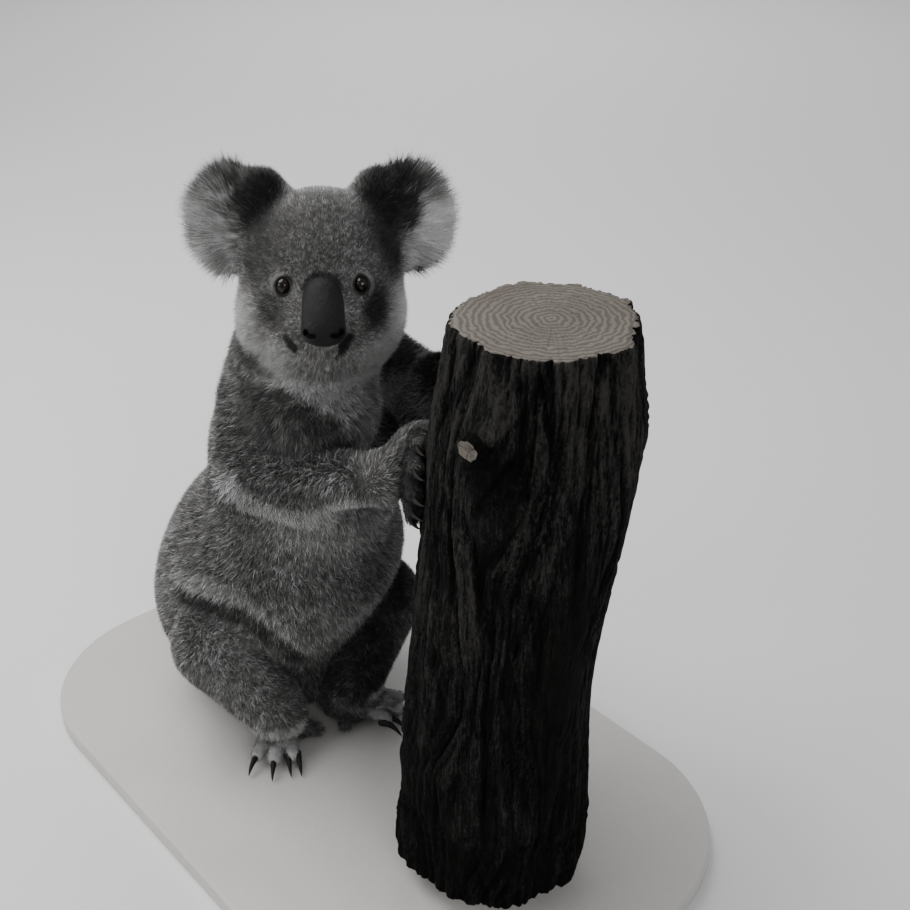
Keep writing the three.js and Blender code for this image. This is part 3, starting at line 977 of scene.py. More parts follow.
def near_path(q: Array, path: Sequence[Union[Vec, Array]]) -> Array:
    """Distance of points from a path.

    Args:
        q: Points.
        path: The path's corners.

    Returns:
        Distances.
    """
    found = []
    for a, b in zip(path, path[1:]):
        start, way = np.array(a, float), np.array(b, float) - np.array(a, float)
        t = np.clip((q - start) @ way / (way @ way), 0.0, 1.0)
        found.append(lengths(q - start - t[:, None] * way))
    return np.min(found, axis=0)


@dataclass(frozen=True)
class Markings:
    """How light the coat is at each place, for skin and tufts alike, painted shade and light included."""

    anatomy: Anatomy
    grey: float = 0.152
    body: tuple[Patch, ...] = (
        Patch((0, 90, 120), (120, 80, 120), 0.125, 0.8),
        Patch((-60, -40, 190), (50, 70, 90), 0.125, 0.8),
        Patch((0, -118, 175), (60, 45, 75), 0.158, 0.8),
        # Painted shade on the belly's left side, which is turned from the light.
        Patch((58, -100, 150), (42, 60, 90), 0.10, 0.8),
        Patch((6, -118, 252), (50, 46, 46), 0.27, 0.75),
        Patch((0, 88, 52), (60, 40, 38), 0.36, 0.7),
        # Painted shade low on the belly between the legs.
        Patch((0, -80, 46), (44, 44, 46), 0.055, 0.9),
    )
    # Lines where the belly hangs over the thighs; shade is painted along them.
    folds: dict[Side, tuple[Vec, ...]] = field(default_factory=lambda: {
        Side.RIGHT: ((-93, -14, 142), (-82, -50, 150), (-69, -80, 149), (-60, -87, 135), (-42, -92, 110),
                     (-30, -89, 91)),
        Side.LEFT: ((-4, -118, 112), (24, -122, 126), (56, -113, 120), (86, -70, 130)),
    })
    head_patches: tuple[Patch, ...] = (
        Patch((0, 6, 70), (40, 30, 13), 0.30, 0.85),
        Patch((0, -44, 30), (30, 24, 26), 0.088, 0.8),
        Patch((0, -30, -62), (46, 40, 24), 0.21),
        # Pale cheeks; the left one is painted much paler, as painted light on the side the lamps leave in
        # shade.
        Patch((-58, -12, -28), (20, 44, 32), 0.44),
        Patch((59, -10, -28), (20, 44, 32), 0.90),
        Patch((-42, -26, -50), (26, 34, 20), 0.36),
        Patch((42, -26, -50), (26, 34, 20), 0.42),
        # Dark temples and dark patches under the eyes, the left ones darker from painted shade.
        Patch((-44, -30, 30), (24, 28, 34), 0.035, 0.95, 0.75),
        Patch((47, -24, 34), (22, 26, 36), 0.014, 1.0, 0.6),
        Patch((-33, -56, -18), (10, 18, 13), 0.045, 0.85),
        Patch((34, -54, -16), (11, 20, 17), 0.012, 0.95, 0.6),
        Patch((-19, -74, -28), (8, 16, 17), 0.125, 0.9),
        Patch((19, -74, -28), (8, 16, 17), 0.145, 0.9),
        Patch((-27, -60, 0), (9.5, 9, 11), 0.135, 0.8),
        Patch((27, -60, 0), (9.5, 9, 11), 0.13, 0.8),
        Patch((-3.5, -72, -44), (13, 14, 7.5), 0.16, 1.0, 0.3),
    )
    shadows: tuple[Patch, ...] = (
        Patch((-49, -4, -46), (13, 15, 10), 0.045, 1.0, 0.4),
        Patch((-40, -21, -48), (9, 11, 9), 0.045, 1.0, 0.4),
        Patch((-31, -28, -57), (8, 10, 6), 0.07, 0.9, 0.5),
        Patch((-2, -54, -54), (24, 16, 9), 0.14, 0.85),
        Patch((-42, -18, 61), (17, 32, 26), 0.012, 1.0, 0.4),
        Patch((46, -16, 64), (17, 30, 25), 0.010, 0.95, 0.4),
    )

    def tone(self, p: Array, shares: dict[str, Array]) -> Array:
        """Lightness of the coat.

        Args:
            p: Points, in millimetres from the seat point.
            shares: How much each part of the body has of each point.

        Returns:
            Lightness of each point, from 0 to 1.
        """
        lumps, fine = layered(p, 30.0, 5, 3), noise(p, 4.5, 9)
        stray = (3.0 - 2.2 * shares["head"])[:, None]
        p = p + stray * np.stack([noise(p, 8.0, 50 + i) for i in range(3)], axis=1)
        tone = np.full(len(p), self.grey)
        for patch in self.body:
            tone = patch.over(tone, p)
        for side in Side:
            tone = self.limb_tone(tone, p, shares, side)
        q = self.anatomy.head().inside(p)
        tone = mix(tone, self.head_tone(q), shares["head"])
        low = shares["head"] * smooth_step(-44.0, -56.0, q[:, 2])
        tone = mix(tone, self.throat_tone(p), np.maximum(shares["neck"], low))
        on_ears = shares["head"]
        for side in Side:
            share = shares["ear_" + side.word]
            tone = mix(tone, self.ear_tone(self.anatomy.ear(side).inside(p), side), share)
            on_ears = on_ears + share
        for patch in self.shadows:
            tone = mix(tone, patch.over(tone, q), np.minimum(on_ears + shares["neck"], 1.0))
        return np.clip(tone * (1.0 + 0.26 * lumps + 0.14 * fine), 0.008, 0.8)

    def throat_tone(self, p: Array) -> Array:
        """Lightness on the neck: a pale bib, and under it painted shade at the front where the shoulder rises
        over it, grey further back.

        Args:
            p: Points.

        Returns:
            The lightness.
        """
        over = p[:, 2] - 366.0 + 1.26 * (p[:, 0] + 41.6)
        bib = smooth_step(-9.0, 9.0, over) * smooth_step(-96.0, -124.0, p[:, 1])
        pale = mix(0.28, 0.35, smooth_step(340.0, 392.0, p[:, 2]))
        # Painted shade at the front of the neck's side, grey behind, the pale bib over both.
        return mix(mix(0.055, 0.135, smooth_step(-112.0, -84.0, p[:, 1])), pale, bib)

    def limb_tone(self, tone: Array, p: Array, shares: dict[str, Array], side: Side) -> Array:
        """Lay the tones of one side's arm and leg over the rest.

        Args:
            tone: Lightness so far.
            p: Points.
            shares: How much each part of the body has of each point.
            side: Which side.

        Returns:
            The new lightness.
        """
        s = side.value
        _, elbow, crook, wrist = (np.array(v, float) for v in self.anatomy.arms[side])
        # Painted shade on the left arm: a dark band under its top, above the pale underside.
        shaded = mix(0.11, 0.022, smooth_step(386.0, 372.0, p[:, 2]))
        upper = mix(0.095, 0.13, smooth_step(-70.0, -40.0, p[:, 1]))
        if side is Side.LEFT:
            # The side of the left arm turned from the camera keeps an even grey instead of the painted shade.
            behind = smooth_step(-2.0, 14.0, (p[:, 0] - 77.0) * 0.67 + (p[:, 1] + 115.0) * 0.74)
            upper = mix(mix(shaded, 0.30, smooth_step(358.0, 340.0, p[:, 2])), 0.14, behind)
        names = ("upper_arm", "forearm", "hand", "thigh", "shank", "foot")
        on = {name: shares[f"{name}_{side.word}"] for name in names}
        tone = mix(tone, upper, on["upper_arm"])
        way = wrist - elbow
        along = np.clip((p - elbow) @ way / (way @ way), 0.0, 1.0)
        middle = mix(elbow, crook, 0.5) * (1 - along[:, None]) + wrist * along[:, None]
        under = (middle[:, 2] - p[:, 2]) / mix(34.0, 18.0, along)
        inner = smooth_step(0.3, 1.0, (p[:, 0] - middle[:, 0]) * -s / 34.0)
        arm = mix(mix(0.075, 0.15, along), 0.30, np.maximum(smooth_step(0.75, 1.05, under), 0.5 * inner))
        # The left forearm near the elbow takes the same tones, painted shade included.
        if side is Side.LEFT:
            arm = mix(arm, upper, smooth_step(-200.0, -180.0, p[:, 1]))
        fringe = near_path(p, (
            elbow + (25 * s, 10, 17), elbow + (26 * s, -6, 10), elbow + (22 * s, -22, 4),
            elbow + (18 * s, -30, 1), crook + (22 * s, -26, -15),
            wrist + (10 * s, 4, -19), wrist + (6 * s, -30, 2),
        ))
        # Painted shade on the belly just under the forearm's pale fringe.
        tone = mix(tone, 0.07, smooth_step(26.0, 13.0, fringe) * shares["trunk"] * 0.75)
        tone = mix(tone, mix(arm, 0.40, smooth_step(14.5, 8.5, fringe)), on["forearm"])
        elbow_spot = Patch(tuple(elbow + (29 * s, -8, 8)), (13, 15, 12), 0.62, 0.9)
        tone = mix(tone, elbow_spot.over(tone, p), np.maximum(on["forearm"], on["upper_arm"]))
        # The digits round the post darkened: partly their own dark colour, partly painted shade; the right
        # hand less so towards its top.
        digits = smooth_step(30.0, 15.0, self.anatomy.post.outside(p))
        if side is Side.RIGHT:
            digits = digits * mix(0.3, 1.0, smooth_step(374.0, 352.0, p[:, 2]))
        tone = mix(tone, mix(0.17, 0.025, digits), on["hand"])
        knee = self.anatomy.legs[side][1]
        # Painted shade on the legs: their inner sides darker, and the left leg darker than the right all
        # over.
        inner = smooth_step(-6.0, 26.0, (knee[0] - p[:, 0]) * s)
        outer, inside = (0.165, 0.10) if side is Side.RIGHT else (0.10, 0.032)
        leg = mix(mix(outer, inside, inner), 0.22, smooth_step(60.0, 26.0, p[:, 2]) * (1.0 - inner) * 0.6)
        # Painted shade under the belly's fold: on the thigh, and on the right also on the belly's lowest
        # edge, with a pale band on the belly above.
        fold = near_path(p, self.folds[side])
        lip = near_path(p - np.array([0.0, 0.0, 15.0]), self.folds[side]) if side is Side.RIGHT else fold
        tone = mix(tone, 0.30, smooth_step(17.0, 7.0, lip) * shares["trunk"] * 0.8)
        if side is Side.RIGHT:
            tone = mix(tone, 0.02, smooth_step(11.0, 5.5, fold) * shares["trunk"] * 0.9)
        leg = mix(leg, 0.02, smooth_step(24.0, 9.0, fold) * 0.95)
        streaks = [near_path(p, (a + (0, 0, 20), b + (0, 0, 4))) for a, b, _ in self.anatomy.toes(side)[1:]]
        leg = mix(leg, 0.42, smooth_step(9.0, 4.5, np.min(streaks, axis=0)))
        tone = mix(tone, leg, np.maximum(on["thigh"], on["shank"]))
        return mix(tone, self.foot_tone(p, side), on["foot"])

    def foot_tone(self, p: Array, side: Side) -> Array:
        """Lightness on a foot: grey above, with pale toes but for the great one, and a bare black sole.

        Args:
            p: Points.
            side: Which foot.

        Returns:
            The lightness.
        """
        toes = self.anatomy.toes(side)
        pale = np.min([near_path(p, (a, b)) - radius for a, b, radius in toes[1:]], axis=0)
        great = near_path(p, toes[0][:2]) - toes[0][2]
        front = smooth_step(0.5, 0.0, great) * smooth_step(-1.0, 1.0, pale)
        tone = mix(0.15, 0.50, smooth_step(1.5, -1.5, pale))
        return mix(mix(tone, 0.10, front), 0.03, smooth_step(6.0, 3.0, p[:, 2]))

    def head_tone(self, q: Array) -> Array:
        """Lightness on the head.

        Args:
            q: Points in the head's frame.

        Returns:
            The lightness.
        """
        tone = np.full(len(q), 0.125)
        for patch in self.head_patches:
            tone = patch.over(tone, q)
        m = self.anatomy.mouth(q) * np.array([1.0, 0.25, 1.0])
        stroke = near_path(m, ((21.0, -17, -35.0), (16.0, -17.2, -41.0))) - 0.7
        stroke = np.minimum(stroke, near_path(m, ((16.0, -17.2, -41.0), (11.5, -17.4, -46.5))) + 0.5)
        tone = mix(tone, 0.014, smooth_step(3.2, 1.6, stroke))
        m = abs_x(q)
        # Painted shade: a dark arch in the fur round the top of the nose.
        rim = Egg((0, -70.5, -10), (14.5, 13.0, 18.5)).distance(m)
        tone = mix(tone, 0.02, smooth_step(3.2, 0.6, rim) * smooth_step(-10, 0, q[:, 2]) * 0.95)
        lids = lengths((m - np.array([26.9, -61, 0])) / np.array([5.9, 9.0, 7.2]))
        return mix(tone, 0.012, smooth_step(1.1, 0.98, lids) * smooth_step(-50, -55, q[:, 1]))

    def ear_tone(self, q: Array, side: Side) -> Array:
        """Lightness on an ear.

        Args:
            q: Points in the ear's frame.
            side: Which ear.

        Returns:
            The lightness.
        """
        m = q * np.array([side.value, 1.0, 1.0])
        out = m - np.array([-24.0, 0.0, -30.0])
        spoke = np.arctan2(out[:, 2], out[:, 0])
        streak = noise(np.stack([spoke * 9.0, lengths(out) / 22.0, m[:, 1] / 20.0], axis=1), 1.0, 66)
        front = smooth_step(6.0, -2.0, m[:, 1])
        tone = mix(0.14, 0.37 if side is Side.RIGHT else 0.75, front)
        m = m + streak[:, None] * np.array([5.0, 0.0, 4.0])
        wide = 1.0 if side is Side.LEFT else 0.5
        for patch in (
            Patch((-4, 0, 26), (32, 22, 16), 0.07, 0.95, 0.4),
            Patch((-24, -6, 2), (28 * wide, 22, 34), 0.018, 1.0, 0.35),
            Patch((-30, 0, -14), (22 * wide, 24, 18), 0.04, 0.8),
        ):
            tone = mix(tone, patch.over(tone, m), mix(0.3, 1.0, front))
        return tone * (1.0 + 0.22 * streak)


# ------------ skin


@dataclass
class Skin:
    """The one skin that stands for all the flesh."""

    anatomy: Anatomy
    markings: Markings
    pitch: float = 3.5
    lid_radius: float = 9.7
    opening: Vec = (5.4, 4.8, 6.8)
    lowest: float = 1.2
    mouth: tuple[tuple[Vec, Vec, float], ...] = (
        ((21.0, -67.5, -35.0), (16.0, -69.0, -41.0), 2.8),
        ((16.0, -69.0, -41.0), (11.5, -70.0, -46.5), 1.9),
        ((11.5, -70.0, -46.5), (0.0, -71.0, -51.0), 0.9),
    )
    surface: Optional[Surface] = None
    shares: dict[str, Array] = field(default_factory=dict)
    extra: dict[str, Array] = field(default_factory=dict)

    def __post_init__(self) -> None:
        """Lay out the parts once."""
        self.parts = self.anatomy.parts()

    def body(self, p: Array) -> Array:
        """Distance outside the flesh, without lids and lips.

        Args:
            p: Points.

        Returns:
            Distances.
        """
        total = self.parts[0].sunk(p)
        for part in self.parts[1:]:
            total = fillet(total, part.sunk(p), part.width)
        return total

    def face(self, p: Array, total: Array) -> Array:
        """Add the lids, and cut the openings of the eyes and the line of the mouth.

        Args:
            p: Points near the face.
            total: Distance outside the flesh there.

        Returns:
            Distance outside the finished face.
        """
        q = self.anatomy.head().inside(p)
        m = abs_x(q)
        eye = np.array(self.anatomy.eye_at, p.dtype)
        total = fillet(total, lengths(m - eye) - self.lid_radius, 4.0)
        total = -fillet(-total, self.eye_hole(m), 0.9)
        for a, b, r in self.mouth:
            total = -fillet(-total, Taper(a, b, r, r).distance(self.anatomy.mouth(q)), 2.0)
        return total.astype(p.dtype)

    def eye_hole(self, m: Array) -> Array:
        """Distance outside the opening of the left eye, in the head's frame."""
        return Egg(self.anatomy.lids_at, self.opening).distance(m)

    def distance(self, p: Array) -> Array:
        """Distance outside the skin.

        Args:
            p: Points.

        Returns:
            Distances.
        """
        total = self.body(p)
        q = self.anatomy.head().inside(p)
        close = (q[:, 1] < -36.0) & (np.abs(q[:, 2] + 14.0) < 44.0) & (np.abs(q[:, 0]) < 46.0)
        if close.any():
            total[close] = self.face(p[close], total[close])
        return total

    def coat_room(self, p: Array) -> Array:
        """How far points lie under the tips of the coat.

        Args:
            p: Points.

        Returns:
            Depths, negative outside the coat.
        """
        total = np.full(len(p), 1e3)
        ears = {"ear_" + s.word: s for s in Side}
        for part in self.parts:
            shape = part.shape
            if part.name in ears:
                shape = Placed(self.anatomy.ear(ears[part.name]), Egg((0, 0, 0), (36, 19, 42)))
            total = fillet(total, shape.distance(p), part.crease)
        return -total

    def grow(self) -> None:
        """Draw the skin, finer on face, ears and paws, and measure it for the coat."""
        corners = np.array([[list(v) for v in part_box(name)] for name in flesh_nodes()]) * 1000.0 - SEAT
        low, high = corners[:, 0].min(axis=0) - 2.0, corners[:, 1].max(axis=0) + 2.0
        surface = field_net(self.distance, low, high, self.pitch)
        surface.points = settle(self.distance, surface.points, 2)
        for level in range(2):
            surface = self.finer(surface, level)
        surface.points[:, 2] = np.maximum(surface.points[:, 2], self.lowest)
        _, slope = gradient(self.distance, surface.points)
        surface.normals = unit(slope)
        self.surface = surface
        self.measure_coat()

    def finer(self, surface: Surface, level: int) -> Surface:
        """Split the net where small forms are.

        Args:
            surface: The net so far.
            level: 0 for head, ears and paws, 1 for the face alone.

        Returns:
            The finer net.
        """
        middle = surface.middles()
        head = self.anatomy.head().inside(middle)
        if level == 0:
            wanted = (head[:, 1] < 4.0) & (np.abs(head[:, 2]) < 66.0) & (np.abs(head[:, 0]) < 62.0)
            for side in Side:
                ear = self.anatomy.ear(side).inside(middle)
                wanted |= lengths(ear / np.array([38.0, 14.0, 42.0])) < 1.0
                foot = lengths(middle - self.anatomy.foot_point(side, 0, 12, 8)) < 40.0
                palm = self.anatomy.post.place(26.0 * side.value, self.anatomy.grip(side), 10.0)
                wanted |= foot & (middle[:, 2] < 30.0) | (lengths(middle - palm) < 42.0)
        else:
            wanted = (head[:, 1] < -45.0) & (np.abs(head[:, 2] + 18.0) < 36.0) & (np.abs(head[:, 0]) < 42.0)
        surface, touched = refined(surface, wanted)
        surface.points = eased(surface, touched)
        surface.points[touched] = settle(self.distance, surface.points[touched], 3, 1.2)
        return surface

    def measure_coat(self) -> None:
        """Work out for each point of the skin which parts have it, and how its hair grows."""
        p = self.surface.points
        sunk = np.stack([part.sunk(p) for part in self.parts])
        nearest = sunk.min(axis=0)
        weights = np.exp(-np.maximum(sunk - nearest, 0.0) / 3.0)
        weights /= weights.sum(axis=0)
        way = np.zeros_like(p)
        hair = np.zeros(len(p))
        for part, share in zip(self.parts, weights):
            way += part.lie(p) * share[:, None]
            hair += part.hair * share
            self.shares[part.name] = self.shares.get(part.name, 0.0) + share
        normals = self.surface.normals
        head = self.anatomy.head().inside(p)
        hair = mix(hair, self.anatomy.head_hair(head), self.shares["head"])
        lid = abs_x(head) - np.array(self.anatomy.lids_at)
        near = smooth_step(13.0, 7.5, lengths(lid * np.array([1.0, 0.5, 1.0])))
        lid[:, 0] *= np.sign(head[:, 0])
        away = unit(self.anatomy.head().vector(lid))
        way = mix(unit(flat(way, normals)), flat(away, normals), near[:, None] * 0.8)
        hair = mix(hair, 1.7, near)
        beside = smooth_step(5.0, 0.5, Nose(self.anatomy).distance(p)) * self.shares["head"]
        self.extra["way"] = unit(way)
        self.extra["hair"] = mix(hair, 1.9, beside)
        room = np.minimum(self.coat_room(p), self.extra["hair"] * 0.95)
        self.extra["room"] = mix(room, np.minimum(room, 1.1), np.maximum(near, beside))
        self.extra["tone"] = self.markings.tone(p, self.shares)

    def hairy(self) -> Array:
        """Which triangles grow hair: not the eye openings, the mouth line, under the nose or the soles.

        Returns:
            True for each triangle that grows hair.
        """
        middle = self.surface.middles()
        q = self.anatomy.head().inside(middle)
        inside = (self.eye_hole(abs_x(q)) < 0.9) & (q[:, 1] < -50.0)
        lip = np.min([Taper(a, b, r, r).distance(self.anatomy.mouth(q)) for a, b, r in self.mouth], axis=0)
        sole = (middle[:, 2] < 5.0) & (unit(self.surface.crosses())[:, 2] < -0.6)
        return ~(inside | (lip < 0.8) | (Nose(self.anatomy).distance(middle) < -0.3) | sole)

    def owners(self) -> Array:
        """The part that has most of each triangle, as a number in the order of the shares."""
        tri = self.surface.triangles
        return np.argmax([share[tri].mean(axis=1) for share in self.shares.values()], axis=0)

    def regions(self) -> Array:
        """The coat piece that each triangle belongs to.

        Returns:
            Numbers in the order of Region.
        """
        order = list(Region)
        own = {part.name: order.index(part.region) for part in self.parts}
        region = np.array([own[name] for name in self.shares])[self.owners()]
        middle = self.surface.middles()
        head = self.anatomy.head().inside(middle)
        face = (region == order.index(Region.CROWN)) & (head[:, 1] < -24.0)
        region[face] = order.index(Region.FACE)
        trunk = (region == order.index(Region.BACK)) & (middle[:, 1] < -30.0)
        region[trunk] = order.index(Region.BELLY)
        return region

    def charts(self) -> Array:
        """Unfold the skin into flat charts, one for each way that each part faces.

        Returns:
            Place of each triangle's corners on the map.
        """
        head, owner = self.anatomy.head(), self.owners()
        normal, spots = unit(self.surface.crosses()), self.surface.points[self.surface.triangles]
        head_spots = head.inside(spots.reshape(-1, 3)).reshape(-1, 3, 3)
        own_frame = [i for i, name in enumerate(self.shares) if name.startswith(("head", "ear"))]
        at_head = np.isin(owner, own_frame)
        normal = np.where(at_head[:, None], normal @ head.axes.T, normal)
        spots = np.where(at_head[:, None, None], head_spots, spots)
        facing = np.abs(normal).argmax(axis=1)
        positive = normal[np.arange(len(normal)), facing] > 0
        chart = owner * 6 + facing * 2 + positive
        places, boxes = np.empty((len(chart), 3, 2)), []
        for name in np.unique(chart):
            rows = np.flatnonzero(chart == name)
            axis, sign = int(facing[rows[0]]), 1.0 if positive[rows[0]] else -1.0
            place = spots[rows][:, :, [(axis + 1) % 3, (axis + 2) % 3]] * np.array([sign, 1.0])
            low = place.min(axis=(0, 1))
            places[rows] = place - low
            boxes.append((*(place.max(axis=(0, 1)) - low), rows))
        boxes.sort(key=lambda box: -box[1])
        widest = math.sqrt(sum(height * width for width, height, _ in boxes)) * 1.12
        x, y, shelf, gap = 0.0, 0.0, 0.0, 4.0
        for width, height, rows in boxes:
            if x + width > widest:
                x, y, shelf = 0.0, y + shelf + gap, 0.0
            places[rows] += np.array([x, y])
            x += width + gap
            shelf = max(shelf, height)
        return places / max(places.max(), 1.0) * 0.98 + 0.01

    def build(self, finish: Material) -> None:
        """Make the skin's object.

        Args:
            finish: The skin's material.
        """
        piece = make_object("koala_skin", self.surface.points, self.surface.triangles, [finish])
        # The skin darker under deep coat: the undercoat's own darker colour, with painted shade under the
        # hair.
        depth = np.clip(self.extra["room"] / 8.0, 0.0, 1.0)
        paint(piece, "coat", tinted(self.extra["tone"] * mix(0.85, 0.4, depth)))
        unwrap(piece, self.charts())
        hand_over(piece, "grey_fur", *flesh_nodes())


def flesh_nodes() -> list[str]:
    """Names of the solids that the skin stands for."""
    return [name for name in frame["nodes"] if not name.startswith(("stand", "perch", "claw", "eye", "nose"))]


def tinted(tone: Array) -> Array:
    """Turn lightness into a nearly neutral grey, a touch warmer where it is dark."""
    warm, cool = np.array([1.03, 1.0, 0.955]), np.array([1.005, 1.0, 0.985])
    return tone[:, None] * mix(warm, cool, smooth_step(0.1, 0.5, tone)[:, None])


# ------------ coat


@dataclass(frozen=True)
class Tufts:
    """How the tufts of one coat piece are made."""

    count: int
    width: float
    lock: float = 3.2
    gather: float = 0.5
    stray: float = 0.3
    ragged: float = 0.2
    grain: float = 0.75


@dataclass
class Coat:
    """The coat, one piece of joined tufts for each region of the skin."""

    skin: Skin
    seed: int = 41
    tufts: dict[Region, Tufts] = field(default_factory=lambda: {
        Region.FACE: Tufts(99000, 0.32, 1.2, 0.25, 0.38, 0.2, 0.8),
        Region.CROWN: Tufts(80000, 0.46, 1.6, 0.3, 0.6, 0.2, 0.9),
        Region.EARS: Tufts(90000, 0.42, 3.2, 0.5, 0.3, 0.42, 0.9),
        Region.NECK: Tufts(56000, 0.6, 3.0, 0.4, 0.5),
        Region.BELLY: Tufts(99000, 0.56, 2.0, 0.3, 0.9, 0.2, 0.95),
        Region.BACK: Tufts(99000, 0.66, 2.2, 0.3, 0.9, 0.2, 0.95),
        Region.ARMS: Tufts(96000, 0.48, 1.8, 0.25, 0.95, 0.2, 1.0),
        Region.LEGS: Tufts(96000, 0.5, 1.9, 0.25, 0.9, 0.2, 1.0),
        Region.PAWS: Tufts(44000, 0.4, 1.8, 0.3, 0.4),
    })

    def build(self, finish: Material) -> None:
        """Make every coat piece.

        Args:
            finish: The coat's material.
        """
        region = self.skin.regions()
        charts = self.skin.charts()
        areas = lengths(self.skin.surface.crosses()) * 0.5 * self.skin.hairy()
        for number, (name, tufts) in enumerate(self.tufts.items()):
            rows = np.flatnonzero((region == list(Region).index(name)) & (areas > 0))
            LOG.info("%s covers %.0f square centimetres", name.value, areas[rows].sum() / 100)
            rng = np.random.default_rng(self.seed + number)
            piece = self.piece(name, tufts, rows[self.scatter(tufts, areas[rows], rng)], charts, rng)
            piece.data.materials.append(finish)
            hand_over(piece, "pale_fur" if name in (Region.EARS, Region.NECK) else "grey_fur")

    def scatter(self, tufts: Tufts, areas: Array, rng: np.random.Generator) -> Array:
        """Choose a triangle for each tuft, evenly by area.

        Args:
            tufts: How the tufts are made.
            areas: Areas of the triangles.
            rng: Source of what is random.

        Returns:
            The number of each tuft's triangle.
        """
        n = tufts.count
        reach = np.cumsum(areas)
        pick = np.searchsorted(reach, (np.arange(n) + rng.random(n)) / n * reach[-1])
        return np.minimum(pick, len(areas) - 1)

    def piece(
        self, name: Region, tufts: Tufts, rows: Array, charts: Array, rng: np.random.Generator
    ) -> Piece:
        """Make one coat piece.

        Args:
            name: Which region.
            tufts: How its tufts are made.
            rows: The skin's triangle under each tuft.
            charts: The skin's bake map.
            rng: Source of what is random.

        Returns:
            The piece, undressed.
        """
        skin, n = self.skin, len(rows)
        a, b = rng.random(n), rng.random(n)
        over = a + b > 1.0
        a[over], b[over] = 1.0 - a[over], 1.0 - b[over]
        share = np.stack([1.0 - a - b, a, b], axis=1)
        tri = skin.surface.triangles[rows]

        def at_root(values: Array) -> Array:
            """Values of the skin at the roots."""
            return np.einsum("ij...,ij->i...", values[tri], share)

        root, normal = at_root(skin.surface.points), unit(at_root(skin.surface.normals))
        room = np.maximum(at_root(skin.extra["room"]), 0.0)
        hair = at_root(skin.extra["hair"])
        shares = {key: at_root(value) for key, value in skin.shares.items()}
        tone = skin.markings.tone(root, shares)
        pull, lock = self.locks(root, tufts.lock)
        turn = 0.35 * noise(root, 17.0, 71) + 0.5 * (lock[:, 1] - 0.5) + rng.normal(0.0, tufts.stray, n)
        way = unit(flat(at_root(skin.extra["way"]), normal))
        across = np.cross(normal, way)
        way = way * np.cos(turn)[:, None] + across * np.sin(turn)[:, None]
        across = np.cross(normal, way)
        vary = 1.0 + tufts.ragged * (rng.uniform(-1.0, 0.6, n) + 0.8 * (lock[:, 2] - 0.5))
        length = np.maximum(hair * 0.92, room * 1.03) * vary
        rise = np.clip(room * (0.6 + 0.4 * vary) * rng.uniform(0.86, 1.1, n) / length, 0.14, 0.97)
        lift = np.arcsin(rise)[:, None]
        low, high = np.minimum(lift * 1.2 + 0.12, 1.45), np.maximum(lift * 0.78 - 0.04, 0.03)
        half = length[:, None] * 0.5
        first = way * np.cos(low) + normal * np.sin(low)
        pull = flat(pull, normal) * tufts.gather
        start = root - normal * 0.5
        middle = start + first * half + pull * 0.4
        tip = middle + (way * np.cos(high) + normal * np.sin(high)) * half + pull * 0.6
        start, middle, tip = self.cleared(start), self.cleared(middle), self.cleared(tip)
        roll = rng.normal(0.0, 0.6, n)[:, None]
        wide = (across * np.cos(roll) + np.cross(first, across) * np.sin(roll)) * tufts.width
        wide *= rng.uniform(0.35, 0.65, n)[:, None]
        points = np.stack([start, middle - wide, middle + wide, tip], axis=1)
        faces = np.array([[0, 1, 2], [1, 3, 2]])[None] + (np.arange(n) * 4)[:, None, None]
        piece = make_object(name.value, points.reshape(-1, 3), faces.reshape(-1, 3), [])
        self.colour(piece, tone, room, lock[:, 0], tufts.grain, rng)
        patch = np.array([[0.0, -1.0], [-0.8, 0.1], [0.8, 0.1], [0.0, 1.0]]) * 0.0015
        corners = np.einsum("ijk,ij->ik", charts[rows], share)[:, None, :] + patch[None]
        unwrap(piece, corners.reshape(-1, 2)[faces.reshape(-1)])
        self.soften(piece, points, normal)
        return piece

    def locks(self, root: Array, size: float) -> tuple[Array, Array]:
        """Find the lock that each tuft belongs to.

        Args:
            root: Roots of the tufts.
            size: Width of a lock.

        Returns:
            The way from each root to its lock's middle, and three numbers that the lock shares.
        """
        moved = root + 0.4 * size * np.stack([noise(root, size * 1.7, 90 + i) for i in range(3)], axis=1)
        cell = np.floor(moved / size)
        best = np.full(len(root), 1e9)
        offset, home = np.zeros_like(root), np.zeros_like(root)
        for step in range(27):
            near = cell + np.array([step % 3, step // 3 % 3, step // 9]) - 1
            spot = np.stack([lattice(near + 4096, 200 + axis) for axis in range(3)], axis=1)
            way = (near + spot) * size - moved
            far = dot(way, way)
            closer = far < best
            best[closer] = far[closer]
            offset[closer] = way[closer]
            home[closer] = near[closer]
        return offset, np.stack([lattice(home + 4096, 300 + i) for i in range(3)], axis=1)

    def cleared(self, points: Array) -> Array:
        """Keep points over the base and outside the bark.

        Args:
            points: Points of the tufts.

        Returns:
            The points, moved where they have to be.
        """
        points = points.copy()
        points[:, 2] = np.maximum(points[:, 2], 0.5)
        post = self.skin.anatomy.post
        lack = np.clip(0.6 - post.outside(points), 0.0, 12.0)
        out = unit((points - post.axis(points[:, 2])) * np.array([1.0, 1.0, 0.0]))
        return points + out * lack[:, None]

